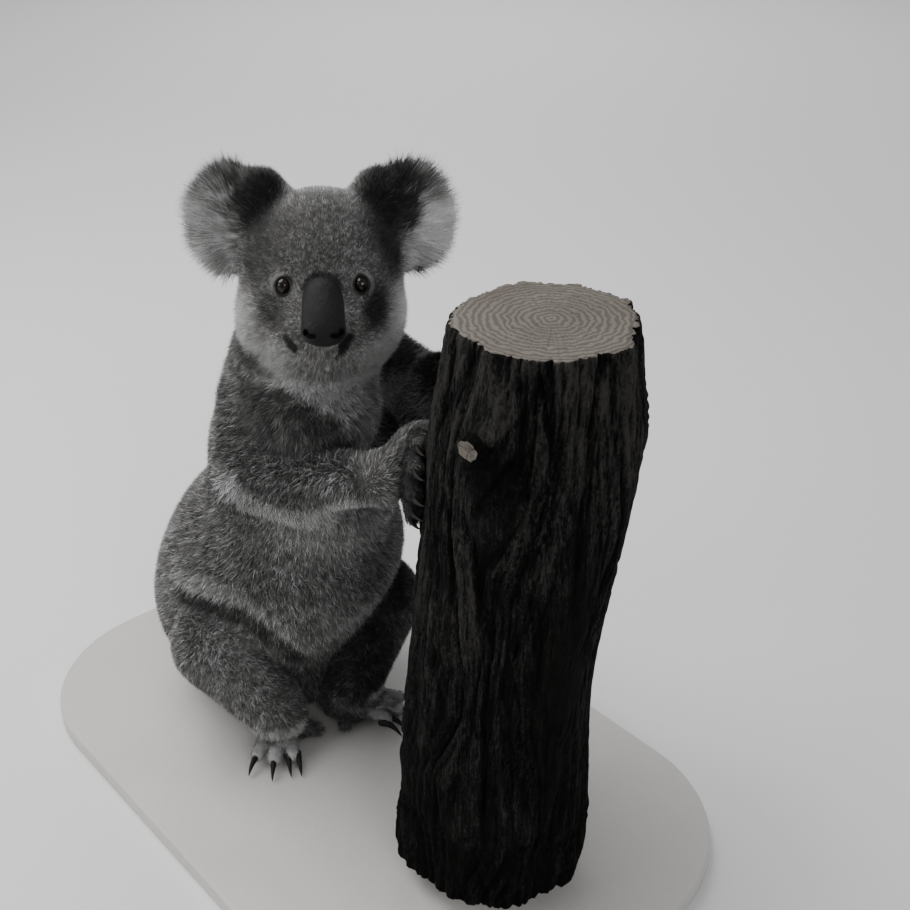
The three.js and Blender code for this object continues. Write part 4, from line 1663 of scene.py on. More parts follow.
    def colour(
        self, piece: Piece, tone: Array, room: Array, lock: Array, grain: float, rng: np.random.Generator
    ) -> None:
        """Colour the tufts from root to tip, some dark and some white.

        Args:
            piece: The coat piece.
            tone: Lightness of the coat at each root.
            room: Depth of the coat there.
            lock: A number from 0 to 1 that a lock shares.
            grain: How much locks and tufts differ.
            rng: Source of what is random.
        """
        n = len(tone)
        calm = mix(np.ones(n), np.full(n, 0.38), smooth_step(0.18, 0.38, tone))
        differ = np.exp((2.4 * (lock - 0.5) + rng.normal(0.0, 0.42, n)) * grain * calm)
        draw = rng.random(n)
        differ *= np.where(draw < 0.12, 1.0 + 0.9 * calm, np.where(draw > 0.84, 1.0 - 0.5 * calm, 1.0))
        # Roots darker where the coat is deep: the undercoat's darker colour, with painted shade inside the
        # coat.
        deep = np.clip(room / 8.0, 0.0, 1.0)
        at_root = tone * mix(0.8, 0.38, deep)
        at_middle = tone * mix(np.ones(n), differ, 0.7) * 0.8
        at_tip = tone * differ * 1.12
        tones = np.clip(np.stack([at_root, at_middle, at_middle, at_tip], axis=1), 0.006, 0.85)
        paint(piece, "coat", tinted(tones.ravel()))

    def soften(self, piece: Piece, points: Array, normal: Array) -> None:
        """Give the tufts normals between their own and the skin's.

        Args:
            piece: The coat piece.
            points: The four points of each tuft.
            normal: The skin's normal at each root.
        """
        own = unit(np.cross(points[:, 2] - points[:, 1], points[:, 3] - points[:, 0]))
        own *= np.sign(dot(own, normal))[:, None]
        each = np.repeat(unit(own * 0.65 + normal * 0.65), 4, axis=0)
        piece.data.normals_split_custom_set_from_vertices(each.tolist())


# ------------ eyes, nose, claws, whiskers


@dataclass(frozen=True)
class Eyes:
    """Two eyeballs with a low cornea, set in the lids."""

    anatomy: Anatomy
    gaze: Vec = (0.10, -0.99, 0.03)
    bulge: float = 0.7
    rings: int = 56
    sides: int = 64

    def build(self, finish: Material) -> None:
        """Make both eyes in their finish."""
        for side in Side:
            self.eye(side, finish)

    def eye(self, side: Side, finish: Material) -> None:
        """Make one eye, its pole at the middle of the iris.

        Args:
            side: Which eye.
            finish: The eye's material.
        """
        head, s = self.anatomy.head(), side.value
        at = head.outside(np.array(self.anatomy.eye_at) * (s, 1, 1))
        ahead = unit(head.vector(np.array(self.gaze) * (s, 1, 1)))
        up = unit(head.axes[2] - ahead * (head.axes[2] @ ahead))
        polar = np.linspace(0.0, math.pi, self.rings + 1)[1:-1] ** 1.15 / math.pi**0.15
        t, u = np.meshgrid(polar, turns(self.sides), indexing="ij")
        radius = self.anatomy.eye_radius + self.bulge * smooth_step(0.62, 0.15, t) - 0.15
        local = np.stack([np.sin(t) * np.cos(u), np.sin(t) * np.sin(u), np.cos(t)], axis=-1)
        rows = at + (local * radius[..., None]) @ np.stack([np.cross(up, ahead), up, ahead])
        points, faces = closed_tube(rows, at + np.outer([-radius[-1, 0], radius[0, 0]], ahead))
        piece = make_object("eyeball_" + side.word, points, faces, [finish])
        flat = np.concatenate([local.reshape(-1, 3), [[0, 0, -1], [0, 0, 1]]])
        measure(piece, "from_pupil", np.arccos(np.clip(flat[:, 2], -1.0, 1.0)))
        measure(piece, "slit", np.hypot(flat[:, 0] / 0.09, flat[:, 1] / 0.30))
        hand_over(piece, "eyes", "eye_" + side.word)


@dataclass(frozen=True)
class Nose:
    """The bare leathery nose, with its flat front, comma nostrils and a rim of painted shade round its top.
    """

    anatomy: Anatomy
    pitch: float = 0.62
    bridge: Egg = Egg((0, -69.5, -9), (13.6, 12, 15))
    tip: Egg = Egg((0, -74, -25.5), (14.4, 12.6, 16))
    swelling: Egg = Egg((7.8, -76.5, -31.5), (6.8, 7.8, 7.0))
    comma: tuple[Egg, ...] = (
        Egg((8.6, -85.4, -33.6), (3.8, 5.4, 1.7)),
        Egg((12.0, -82.0, -31.2), (1.7, 4.6, 2.3)),
    )

    def nostril(self, m: Array) -> Array:
        """Distance outside the hole of a nostril."""
        return Blend(1.5, self.comma).distance(m)

    def distance(self, p: Array) -> Array:
        """Distance outside the nose.

        Args:
            p: Points.

        Returns:
            Distances.
        """
        q = self.anatomy.head().inside(p)
        m = abs_x(q)
        total = fillet(self.bridge.distance(m), self.tip.distance(m), 10.0)
        total = fillet(total, self.swelling.distance(m), 5.0)
        total = -fillet(-total, self.nostril(m), 1.5)
        groove = Taper((0, -88.5, -37), (0, -86.5, -44), 0.6, 0.9).distance(m)
        total = -fillet(-total, groove, 1.8)
        return (total - 0.16 * layered(q.astype(float), 2.2, 31, 2)).astype(p.dtype)

    def build(self, finish: Material) -> None:
        """Make the nose.

        Args:
            finish: The nose's material.
        """
        low, high = (np.array(list(v)) * 1000.0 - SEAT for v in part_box("nose"))
        surface = field_net(self.distance, low - 1.5, high + 1.5, self.pitch)
        surface.points = settle(self.distance, surface.points, 2, 0.4)
        piece = make_object("nose_leather", surface.points, surface.triangles, [finish])
        q = self.anatomy.head().inside(surface.points)
        m = abs_x(q)
        # Painted shade on the nose: a dark rim round its top and black in the nostril hollows; the leather
        # also darker towards the bottom.
        arch = lengths(np.stack([m[:, 0] / 15.5, (q[:, 2] + 16.0) / 20.5], 1))
        rim = smooth_step(0.84, 1.02, arch) * smooth_step(-30.0, -20.0, q[:, 2])
        tone = 0.0125 - 0.007 * rim - 0.0075 * smooth_step(-20.0, -35.0, q[:, 2])
        tone = mix(tone, 0.0035, smooth_step(1.6, -0.6, self.nostril(m)))
        tone = tone * (1.0 + 0.25 * layered(q, 6.0, 77, 2))
        paint(piece, "hide", tinted(np.clip(tone, 0.003, 1.0)))
        hand_over(piece, "nose_skin", "nose")


@dataclass(frozen=True)
class Claws:
    """Curved horn claws, flattened from side to side, with a sharp tip."""

    anatomy: Anatomy
    sweep: float = 1.15
    start: float = -0.22
    finger_size: tuple[float, float] = (19.0, 3.5)
    toe_size: tuple[float, float] = (22.0, 4.6)
    lowest: float = 0.4
    rings: int = 16
    sides: int = 14

    def claw(
        self, root: Array, forward: Array, down: Array, length: float, radius: float
    ) -> tuple[Array, Array]:
        """Lay out one claw.

        Args:
            root: Middle of its base.
            forward: The way it leaves.
            down: The way it bends.
            length: Length along the bend.
            radius: Half its height at the base.

        Returns:
            Its points and triangles.
        """
        ahead = unit(forward)
        below = unit(down - ahead * (down @ ahead))
        t, u = np.meshgrid(np.linspace(0.0, 1.0, self.rings), turns(self.sides), indexing="ij")
        bend = length / self.sweep
        angle = self.start + (self.sweep - self.start) * t
        swell = radius * np.maximum((1.0 - t) ** 0.6 * (1.0 - 0.15 * t), 0.03)
        high = np.cos(u) * swell
        out = bend - np.where(high < 0, high * 0.82, high)
        rows = (root + (np.sin(angle) * out)[..., None] * ahead
                + (bend - np.cos(angle) * out)[..., None] * below
                + (np.sin(u) * swell * 0.8)[..., None] * np.cross(ahead, below))
        middles = rows.mean(axis=1)
        return closed_tube(rows, np.stack([middles[-1] + (middles[-1] - middles[-2]) * 0.2, middles[0]]))

    def paw(self, name: str, finish: Material, claws: list[tuple[Array, Array, Array, float, float]],
            nodes: list[str]) -> None:
        """Join the claws of one paw.

        Args:
            name: The piece's name.
            finish: The claw's material.
            claws: Root, forward, down, length and radius of each.
            nodes: The solids that they stand for.
        """
        each = [self.claw(*claw) for claw in claws]
        points = np.concatenate([p for p, _ in each])
        points[:, 2] = np.maximum(points[:, 2], self.lowest)
        faces = np.concatenate([f + i * len(p) for i, (p, f) in enumerate(each)])
        piece = make_object(name, points, faces, [finish])
        along = np.append(np.repeat(np.linspace(0, 1, self.rings), self.sides), [1.0, 0.0])
        measure(piece, "along", np.tile(along, len(each)))
        hand_over(piece, "claws", *nodes)

    def build(self, finish: Material) -> None:
        """Make the claws of all four paws.

        Args:
            finish: The claw's material.
        """
        down = np.array([0.0, 0.0, -1.0])
        for side in Side:
            word = side.word
            hand = [(*claw, *self.finger_size) for claw in self.anatomy.finger_claws(side)]
            self.paw("claws_hand_" + word, finish, hand, [f"claw_hand_{word}_{i}" for i in range(1, 6)])
            foot = [(*claw, down, *self.toe_size) for claw in self.anatomy.toe_claws(side)]
            self.paw("claws_foot_" + word, finish, foot, [f"claw_foot_{word}_{i}" for i in range(2, 6)])


@dataclass(frozen=True)
class Whiskers:
    """Short bristles on the muzzle and over the eyes."""

    anatomy: Anatomy
    skin: Skin
    thickness: float = 0.00013
    bend: float = 13.0
    seed: int = 5

    def roots(self) -> tuple[Array, Array, Array]:
        """Choose where the bristles grow.

        Returns:
            Roots on the skin, directions and lengths in millimetres.
        """
        rng = np.random.default_rng(self.seed)
        head = self.anatomy.head()
        found = []
        for s in (-1, 1):
            for row, i in np.ndindex(3, 5):
                spot = (s * (17 + 2.4 * i + row), -74 + 2.5 * i, -24 - 5.0 * row + rng.normal(0, 0.7))
                way = (s * (0.9 + 0.1 * i), -0.55 + 0.14 * i, -0.35 - 0.12 * row)
                found.append((*spot, *way, rng.uniform(9, 17)))
            for i in range(4):
                spot = (s * (24 + 2.6 * i), -58, 13 + rng.normal(0, 0.5))
                found.append((*spot, s * 0.35, -0.75, 0.7, rng.uniform(8, 13)))
        table = np.array(found, float)
        roots = settle(self.skin.distance, head.outside(table[:, :3]), 4)
        return roots, unit(head.vector(table[:, 3:6])), table[:, 6]

    def tree(self, finish: Material) -> bpy.types.GeometryNodeTree:
        """Build the nodes that put a bristle on every point.

        Args:
            finish: The bristle's material.

        Returns:
            The node tree.
        """
        tree = bpy.data.node_groups.new("Bristles on points", "GeometryNodeTree")
        for name, way, kind in (("Points", "INPUT", "Geometry"), ("Thickness", "INPUT", "Float"),
                                ("Bend", "INPUT", "Float"), ("Bristles", "OUTPUT", "Geometry")):
            tree.interface.new_socket(name, in_out=way, socket_type="NodeSocket" + kind)
        n = Nodes(tree)
        given = n.add("NodeGroupInput").outputs
        cone = n.add("GeometryNodeMeshCone", {"Vertices": 5, "Side Segments": 5, "Radius Top": 0.05,
                                              "Radius Bottom": 1.0, "Depth": 1.0})
        place = n.add("GeometryNodeInputPosition")
        height = n.add("ShaderNodeSeparateXYZ", {"Vector": place.outputs[0]}).outputs["Z"]
        aside = n.math("MULTIPLY", n.math("MULTIPLY", height, height), given["Bend"])
        offset = n.add("ShaderNodeCombineXYZ", {"Y": aside})
        curved = n.add("GeometryNodeSetPosition", {"Geometry": cone.outputs[0], "Offset": offset.outputs[0]})
        aim = n.add("GeometryNodeInputNamedAttribute", {"Name": "aim"}, data_type="FLOAT_VECTOR")
        reach = n.add("GeometryNodeInputNamedAttribute", {"Name": "reach"}, data_type="FLOAT")
        turn = n.add("FunctionNodeAlignRotationToVector", {"Vector": aim.outputs[0]}, axis="Z")
        thick = given["Thickness"]
        scale = n.add("ShaderNodeCombineXYZ", {"X": thick, "Y": thick, "Z": reach.outputs[0]})
        spread = n.add("GeometryNodeInstanceOnPoints", {
            "Points": given["Points"], "Instance": curved.outputs[0],
            "Rotation": turn.outputs[0], "Scale": scale.outputs[0],
        })
        real = n.add("GeometryNodeRealizeInstances", {"Geometry": spread.outputs[0]})
        dressed = n.add("GeometryNodeSetMaterial", {"Geometry": real.outputs[0], "Material": finish})
        n.add("NodeGroupOutput", {"Bristles": dressed.outputs[0]})
        return tree

    def build(self, finish: Material) -> None:
        """Make the bristles.

        Args:
            finish: The bristle's material.
        """
        roots, ways, lengths = self.roots()
        mesh = bpy.data.meshes.new("bristle_roots")
        mesh.from_pydata(to_model(roots).tolist(), [], [])
        aim = mesh.attributes.new("aim", "FLOAT_VECTOR", "POINT")
        aim.data.foreach_set("vector", ways.astype(np.float32).ravel())
        reach = mesh.attributes.new("reach", "FLOAT", "POINT")
        reach.data.foreach_set("value", (lengths * 0.001).astype(np.float32))
        holder = bpy.data.objects.new("bristle_roots", mesh)
        bpy.context.scene.collection.objects.link(holder)
        modifier = holder.modifiers.new("bristles", "NODES")
        modifier.node_group = self.tree(finish)
        wanted = {"Thickness": self.thickness, "Bend": self.bend}
        for socket in modifier.node_group.interface.items_tree:
            if socket.name in wanted:
                modifier[socket.identifier] = wanted[socket.name]
        graph = bpy.context.evaluated_depsgraph_get()
        made = bpy.data.meshes.new_from_object(holder.evaluated_get(graph))
        holder.modifiers.remove(modifier)
        bpy.data.objects.remove(holder)
        made.name = "whiskers"
        piece = bpy.data.objects.new("whiskers", made)
        bpy.context.scene.collection.objects.link(piece)
        hand_over(piece, "grey_fur")


# ------------ the post and its stand


@dataclass(frozen=True)
class BarkedPost:
    """The cut length of post: stringy bark, a sawn knot, a burl and sawn ends."""

    post: Post = Post()
    sides: int = 296
    rings: int = 286
    cap: int = 9
    knot_around: float = -100.0
    knot_height: float = 414.0
    knot_radii: tuple[float, float] = (7.2, 13.5)
    knot_length: float = 26.0
    knot_rings: int = 14
    knot_sides: int = 96
    burl: tuple[float, float] = (-113.0, 374.0)

    def parted(
        self, s: Array, z: Array, around: float, height: float, size: float
    ) -> tuple[Array, Array, Array]:
        """Make the grain part round a knot.

        Args:
            s: Arc along the bark.
            z: Heights.
            around: Degrees of the knot.
            height: Height of the knot.
            size: How wide it disturbs the grain.

        Returns:
            The arc and height to read the grain at, and how near the knot is.
        """
        full = 2 * math.pi * self.post.radius
        off = s - math.radians(around) * self.post.radius
        off = off - np.round(off / full) * full
        near = np.exp(-((off / size) ** 2 + ((z - height) / (size * 1.7)) ** 2))
        return s - off * near * 0.85, z + (z - height) * near * 0.5, near

    def bare(self, angle: Array, z: Array) -> Array:
        """How much the bark has come away at radians around and heights."""
        hollow = bell_round(angle, 2.3, 0.62) * bell(z, 205, 120)
        return np.maximum(hollow, bell_round(angle, -2.85, 0.34) * bell(z, 235, 95))

    def grain(self, angle: Array, z: Array) -> tuple[Array, Array]:
        """Ridges of the bark, and how deep in a furrow each point lies, as a share for painted shade and
        light.

        Args:
            angle: Radians around.
            z: Heights.

        Returns:
            Millimetres over the solid's bark, and the share from 0, deep and in painted shade, to 1, on a lit
            ridge.
        """
        s, h, knot = self.parted(angle * self.post.radius, z, self.knot_around, self.knot_height, 25.0)
        s, h, burl = self.parted(s, h, *self.burl, 27.0)
        turned = s / self.post.radius
        ring = np.stack([np.sin(turned) * self.post.radius, np.cos(turned) * self.post.radius, h], axis=1)
        q = ring.copy()
        for axis in (0, 1):
            wide, narrow = noise(ring, (60, 60, 110), 3 + axis), noise(ring, (16, 16, 34), 13 + axis)
            q[:, axis] += 12.0 * wide + 2.6 * narrow
        broad = smooth_step(0.0, 0.34, np.abs(noise(q, (13, 13, 190), 21)))
        middle = smooth_step(0.0, 0.34, np.abs(noise(q, (6.0, 6.0, 95), 22)))
        fine = smooth_step(0.0, 0.4, np.abs(noise(q, (3.2, 3.2, 55), 23)))
        torn = noise(q, (2.2, 2.2, 9), 24)
        ridges = 0.42 * broad + 0.33 * middle + 0.25 * fine
        calm = 1.0 - 0.7 * self.bare(angle, z)
        height = (6.2 * ridges + 0.6 * torn - 3.3) * calm
        coil = np.sin(8.5 * burl + 2.2 * noise(ring, 14.0, 8)) * burl * 1.6
        collar = np.exp(-(((angle - math.radians(-110)) / 0.34) ** 2 + ((z - 398) / 24) ** 2))
        # Painted shade in the furrows and painted light on the ridges, darker in a collar just below the knot
        # and towards the bottom of the post.
        openness = np.clip(ridges + 0.14 * torn, 0.0, 1.0) * calm * (1.0 - 0.75 * collar)
        return height + 3.8 * burl + 2.2 * knot + coil - 1.5 * collar, openness * mix(0.3, 1.0, z / 472)

    def stem(self, finishes: Sequence[Material]) -> None:
        """Make the stem with its sawn ends.

        Args:
            finishes: Bark and sawn wood.
        """
        post, sides, cap = self.post, self.sides, self.cap
        z = np.linspace(post.bottom, post.top, self.rings)
        zz, aa = (v.ravel() for v in np.meshgrid(z, turns(sides), indexing="ij"))
        aa = np.angle(np.exp(1j * aa))
        height, openness = self.grain(aa, zz)
        height -= 1.6 * np.exp(-np.minimum(zz - post.bottom, post.top - zz) / 1.6)
        out = post.radius + post.relief(aa, zz) + height - 0.6
        wall = post.axis(zz) + np.stack([np.sin(aa) * out, np.cos(aa) * out, np.zeros(len(zz))], axis=1)
        wall = wall.reshape(self.rings, sides, 3)
        ends = []
        for ring in (wall[0], wall[-1]):
            middle = ring.mean(axis=0)
            shares = (1.0 - np.arange(1, cap + 1) / (cap + 1))[:, None, None]
            inner = middle + (ring - middle) * shares
            radius = np.linalg.norm(inner - middle, axis=2)
            rough = 0.35 * layered(inner.reshape(-1, 3), 9.0, 61, 2).reshape(radius.shape)
            inwards = np.minimum(1.0, (1.0 - shares[..., 0]) * 5.0)
            inner[..., 2] += (0.25 * np.sin(radius * 1.9) + rough) * inwards
            ends.append((inner, middle))
        rows = np.concatenate([ends[0][0][::-1], wall, ends[1][0]])
        points, faces = closed_tube(rows, np.stack([ends[1][1], ends[0][1]]))
        piece = make_object("post_stem", points, faces, finishes)
        row = faces // sides
        sawn = (row.min(axis=1) < cap) | (row.max(axis=1) >= cap + self.rings)
        piece.data.polygons.foreach_set("material_index", sawn.astype(np.int32))
        # Stored for the finish: the share of painted shade and light over furrows and ridges, and where the
        # bark has come away, which it paints nearly black as shade.
        for name, values, rest in (("openness", openness, 0.5), ("bare", self.bare(aa, zz), 0.0)):
            every = np.full(len(points), rest)
            every[cap * sides:(cap + self.rings) * sides] = values
            measure(piece, name, every)
        hand_over(piece, "bark", "perch_post")

    def knot(self, finishes: Sequence[Material]) -> None:
        """Make the stub of a sawn branch, with cracks across its end.

        Args:
            finishes: Bark and sawn wood.
        """
        seat = self.post.place(self.knot_around, self.knot_height, -4.0)
        axis = unit(seat - self.post.axis(np.array(self.knot_height)))
        up = np.array([0.0, 0.0, 1.0])
        across = unit(np.cross(up, axis))
        sides, half = self.knot_sides, self.knot_length * 0.5
        u = turns(sides)
        rows = []
        tip, foot = self.knot_radii
        for t in np.linspace(0.0, 1.0, self.knot_rings):
            lumps = 0.3 * np.sin(5 * u + 1.3) + 0.25 * np.sin(9 * u) + 0.5 * np.sin(2 * u + 2 * t)
            out = foot + (tip - foot) * t + 5.0 * (1 - t) ** 4 + lumps - 0.4
            rows.append(((2 * t - 1) * half + 0 * u, out))
        rim = rows[-1][1]
        for share in (0.94, 0.8, 0.65, 0.5, 0.35, 0.2, 0.08):
            crack = np.zeros(sides)
            for at, width in ((0.5, 0.08), (2.9, 0.10), (4.6, 0.07)):
                crack += np.exp(-((np.angle(np.exp(1j * (u - at))) / width) ** 2)) * 1.4 * share
            rows.append((half - crack - 1.2 * (1 - share) + 0.4 * np.sin(share * 26), rim * share))
        rings = np.stack([seat + np.outer(along, axis) + np.outer(np.cos(u) * out, across)
                          + np.outer(np.sin(u) * out, up) for along, out in rows])
        points, faces = closed_tube(rings, np.stack([rings[-1].mean(axis=0), seat - axis * half]))
        piece = make_object("post_knot", points, faces, finishes)
        end = (self.knot_rings - 1) * sides
        sawn = (faces.min(axis=1) >= end) & (faces.max(axis=1) < len(points) - 1)
        piece.data.polygons.foreach_set("material_index", sawn.astype(np.int32))
        measure(piece, "openness", np.full(len(points), 0.25))
        measure(piece, "bare", np.zeros(len(points)))
        hand_over(piece, "bark")

    def build(self, finishes: Sequence[Material]) -> None:
        """Make the post in bark and sawn wood."""
        self.stem(finishes)
        self.knot(finishes)


@dataclass(frozen=True)
class Stand:
    """The flat base with round corners, and the two rods that carry the post."""

    width: float = 380.0
    length: float = 610.0
    thickness: float = 16.0
    corner: float = 120.0
    bevel: float = 2.4
    centre_y: float = -142.0
    rod_radius: float = 7.0
    rod_spread: float = 34.0
    rod_gap: float = 0.5
    rod_sides: int = 64
    corner_steps: int = 25
    post: Post = Post()

    def outline(self, inset: float) -> Array:
        """The base's outline, pulled in, as steps round each corner.

        Args:
            inset: How far it is pulled in.

        Returns:
            Places on the plane.
        """
        w, l, r = self.width / 2 - inset, self.length / 2 - inset, self.corner - inset
        turn = np.radians(np.linspace(0.0, 90.0, self.corner_steps)[None] + np.arange(4)[:, None] * 90.0)
        corners = np.array([(w - r, l - r), (r - w, l - r), (r - w, r - l), (w - r, r - l)])
        points = corners[:, None] + r * np.stack([np.cos(turn), np.sin(turn)], axis=2)
        return points.reshape(-1, 2) + np.array([0.0, self.centre_y])

    def base(self, finish: Material) -> None:
        """Make the base with a rounded edge above and below.

        Args:
            finish: The base's material.
        """
        angles = np.radians(np.linspace(0.0, 90.0, 6))
        levels = [(self.bevel * (1 - math.sin(a)), -self.thickness + self.bevel * (1 - math.cos(a)))
                  for a in angles]
        levels += [(inset, -self.thickness - z) for inset, z in reversed(levels)]
        steps = 4 * self.corner_steps
        rings = np.stack([np.column_stack([self.outline(inset), np.full(steps, z)]) for inset, z in levels])
        self.turned("base_slab", rings, finish, "base_paint", "stand_base")

    def rod(self, side: Side, finish: Material) -> None:
        """Make one rod, turned down at both ends, with a shallow groove near its foot.

        Args:
            side: Which rod.
            finish: The rod's material.
        """
        height, r = self.post.bottom - 2 * self.rod_gap, self.rod_radius
        profile = [(r - 0.8, 0.0), (r - 0.2, 0.25), (r, 0.8), (r, 3.6), (r - 0.35, 3.9), (r - 0.35, 4.7),
                   (r, 5.0), (r, height - 0.8), (r - 0.2, height - 0.25), (r - 0.8, height)]
        u = turns(self.rod_sides)
        foot = self.post.axis(np.array(self.post.bottom / 2))
        at = np.array([foot[0] + side.value * self.rod_spread, foot[1], self.rod_gap])
        rings = np.stack([at + np.column_stack([np.cos(u) * out, np.sin(u) * out, np.full(len(u), z)])
                          for out, z in profile])
        number = 1 if side is Side.RIGHT else 2
        self.turned(f"rod_{number}", rings, finish, "rod_steel", f"stand_rod_{number}")

    def turned(self, name: str, rings: Array, finish: Material, slot: str, node: str) -> None:
        """Close a stack of rings and hand it over, shaded smooth across low angles only.

        Args:
            name: The piece's name.
            rings: Its rings, from below.
            finish: Its material.
            slot: Its material slot.
            node: The solid that it stands for.
        """
        points, faces = closed_tube(rings, np.stack([rings[-1].mean(axis=0), rings[0].mean(axis=0)]))
        piece = make_object(name, points, faces, [finish])
        piece.data.set_sharp_from_angle(angle=math.radians(35))
        hand_over(piece, slot, node)

    def build(self, paint_finish: Material, steel: Material) -> None:
        """Make the base in paint and the rods in steel.

        Args:
            paint_finish: The base's material.
            steel: The rods' material.
        """
        self.base(paint_finish)
        for side in Side:
            self.rod(side, steel)


# ------------ finishes


class Nodes:
    """Lays nodes in a tree and joins them."""

    def __init__(self, tree: bpy.types.NodeTree, groups: Optional["Groups"] = None) -> None:
        """Take the tree to work in, and the shared effects if it uses them."""
        self.tree, self.groups = tree, groups

    def add(
        self, kind: str, inputs: Optional[dict[Union[str, int], object]] = None, **settings: object
    ) -> bpy.types.Node:
        """Add a node.

        Args:
            kind: The node's type.
            inputs: For each input, a value, or the output that feeds it.
            settings: The node's own settings.

        Returns:
            The node.
        """
        node = self.tree.nodes.new(kind)
        node.location = (len(self.tree.nodes) * 190 % 1900, -(len(self.tree.nodes) // 10) * 320)
        for name, value in settings.items():
            setattr(node, name, value)
        self.feed(node, inputs or {})
        return node

    def feed(self, node: bpy.types.Node, inputs: dict[Union[str, int], object]) -> None:
        """Set a node's inputs, each to a value or to the output that feeds it.

        Args:
            node: The node.
            inputs: A value or an output, by the input's name.
        """
        for name, value in inputs.items():
            if isinstance(value, Socket):
                self.tree.links.new(value, node.inputs[name])
            else:
                node.inputs[name].default_value = value

    def math(self, kind: str, *values: Union[Socket, float]) -> Socket:
        """Add a sum of the given kind, and return its result."""
        return self.add("ShaderNodeMath", dict(enumerate(values)), operation=kind).outputs[0]

    def blend(self, share: Socket, one: Union[Socket, tuple], other: Union[Socket, tuple]) -> Socket:
        """Blend one colour into another by a share."""
        return self.add("ShaderNodeMix", {0: share, 6: one, 7: other}, data_type="RGBA").outputs[2]

    def ramp(self, factor: Socket, stops: Sequence[tuple[float, Vec]]) -> Socket:
        """Add a colour ramp.

        Args:
            factor: What drives it.
            stops: Positions and colours.

        Returns:
            Its colour.
        """
        node = self.add("ShaderNodeValToRGB", {"Fac": factor})
        elements = node.color_ramp.elements
        while len(elements) < len(stops):
            elements.new(0.5)
        for element, (at, colour) in zip(elements, stops):
            element.position = at
            element.color = (*colour, 1.0)
        return node.outputs["Color"]

    def range(self, value: Socket, low: float, high: float, to_low: float, to_high: float) -> Socket:
        """Map a value from one range to another."""
        inputs = {"Value": value, "From Min": low, "From Max": high, "To Min": to_low, "To Max": to_high}
        return self.add("ShaderNodeMapRange", inputs).outputs["Result"]

    def place(self, **mapping: Vec) -> Socket:
        """Places in the piece's own frame, moved or stretched as asked."""
        own = self.add("ShaderNodeTexCoord").outputs["Object"]
        return self.add("ShaderNodeMapping", {"Vector": own, **mapping}).outputs[0] if mapping else own

    def noise(
        self, at: Socket, scale: Union[Socket, float], detail: float = 3.0, rough: float = 0.6
    ) -> Socket:
        """Noise over places."""
        inputs = {"Vector": at, "Scale": scale, "Detail": detail, "Roughness": rough}
        return self.add("ShaderNodeTexNoise", inputs).outputs["Fac"]

    def attribute(self, name: str) -> Socket:
        """A number stored with the points."""
        return self.add("ShaderNodeAttribute", attribute_name=name).outputs["Fac"]

    def painted(self, name: str) -> Socket:
        """A colour stored with the points."""
        return self.add("ShaderNodeVertexColor", layer_name=name).outputs["Color"]

    def bump(self, height: Socket, strength: float, distance: float) -> Socket:
        """Normals bumped by a height."""
        inputs = {"Height": height, "Strength": strength, "Distance": distance}
        return self.add("ShaderNodeBump", inputs).outputs[0]

    def flecks(self, colour: Colour, scale: float, amount: float) -> tuple[Socket, Socket]:
        """Fleck a colour, and give the colour and its height."""
        node = self.shared(self.groups.flecks, colour, Scale=scale, Amount=amount)
        return node.outputs["Color"], node.outputs["Height"]

    def dusted(self, colour: Colour, amount: float, rough: float, dust: Vec = DUST) -> dict[str, Socket]:
        """Dust a colour, and give what it feeds to a shader."""
        node = self.shared(self.groups.grime, colour, Amount=amount, Roughness=rough, Dust=(*dust, 1.0))
        return {"Base Color": node.outputs["Color"], "Roughness": node.outputs["Roughness"]}

    def shared(self, effect: bpy.types.NodeTree, colour: Colour, **inputs: object) -> bpy.types.Node:
        """Add a shared effect over a colour."""
        given = colour if isinstance(colour, Socket) else (*colour, 1.0)
        return self.add("ShaderNodeGroup", {"Color": given, **inputs}, node_tree=effect)


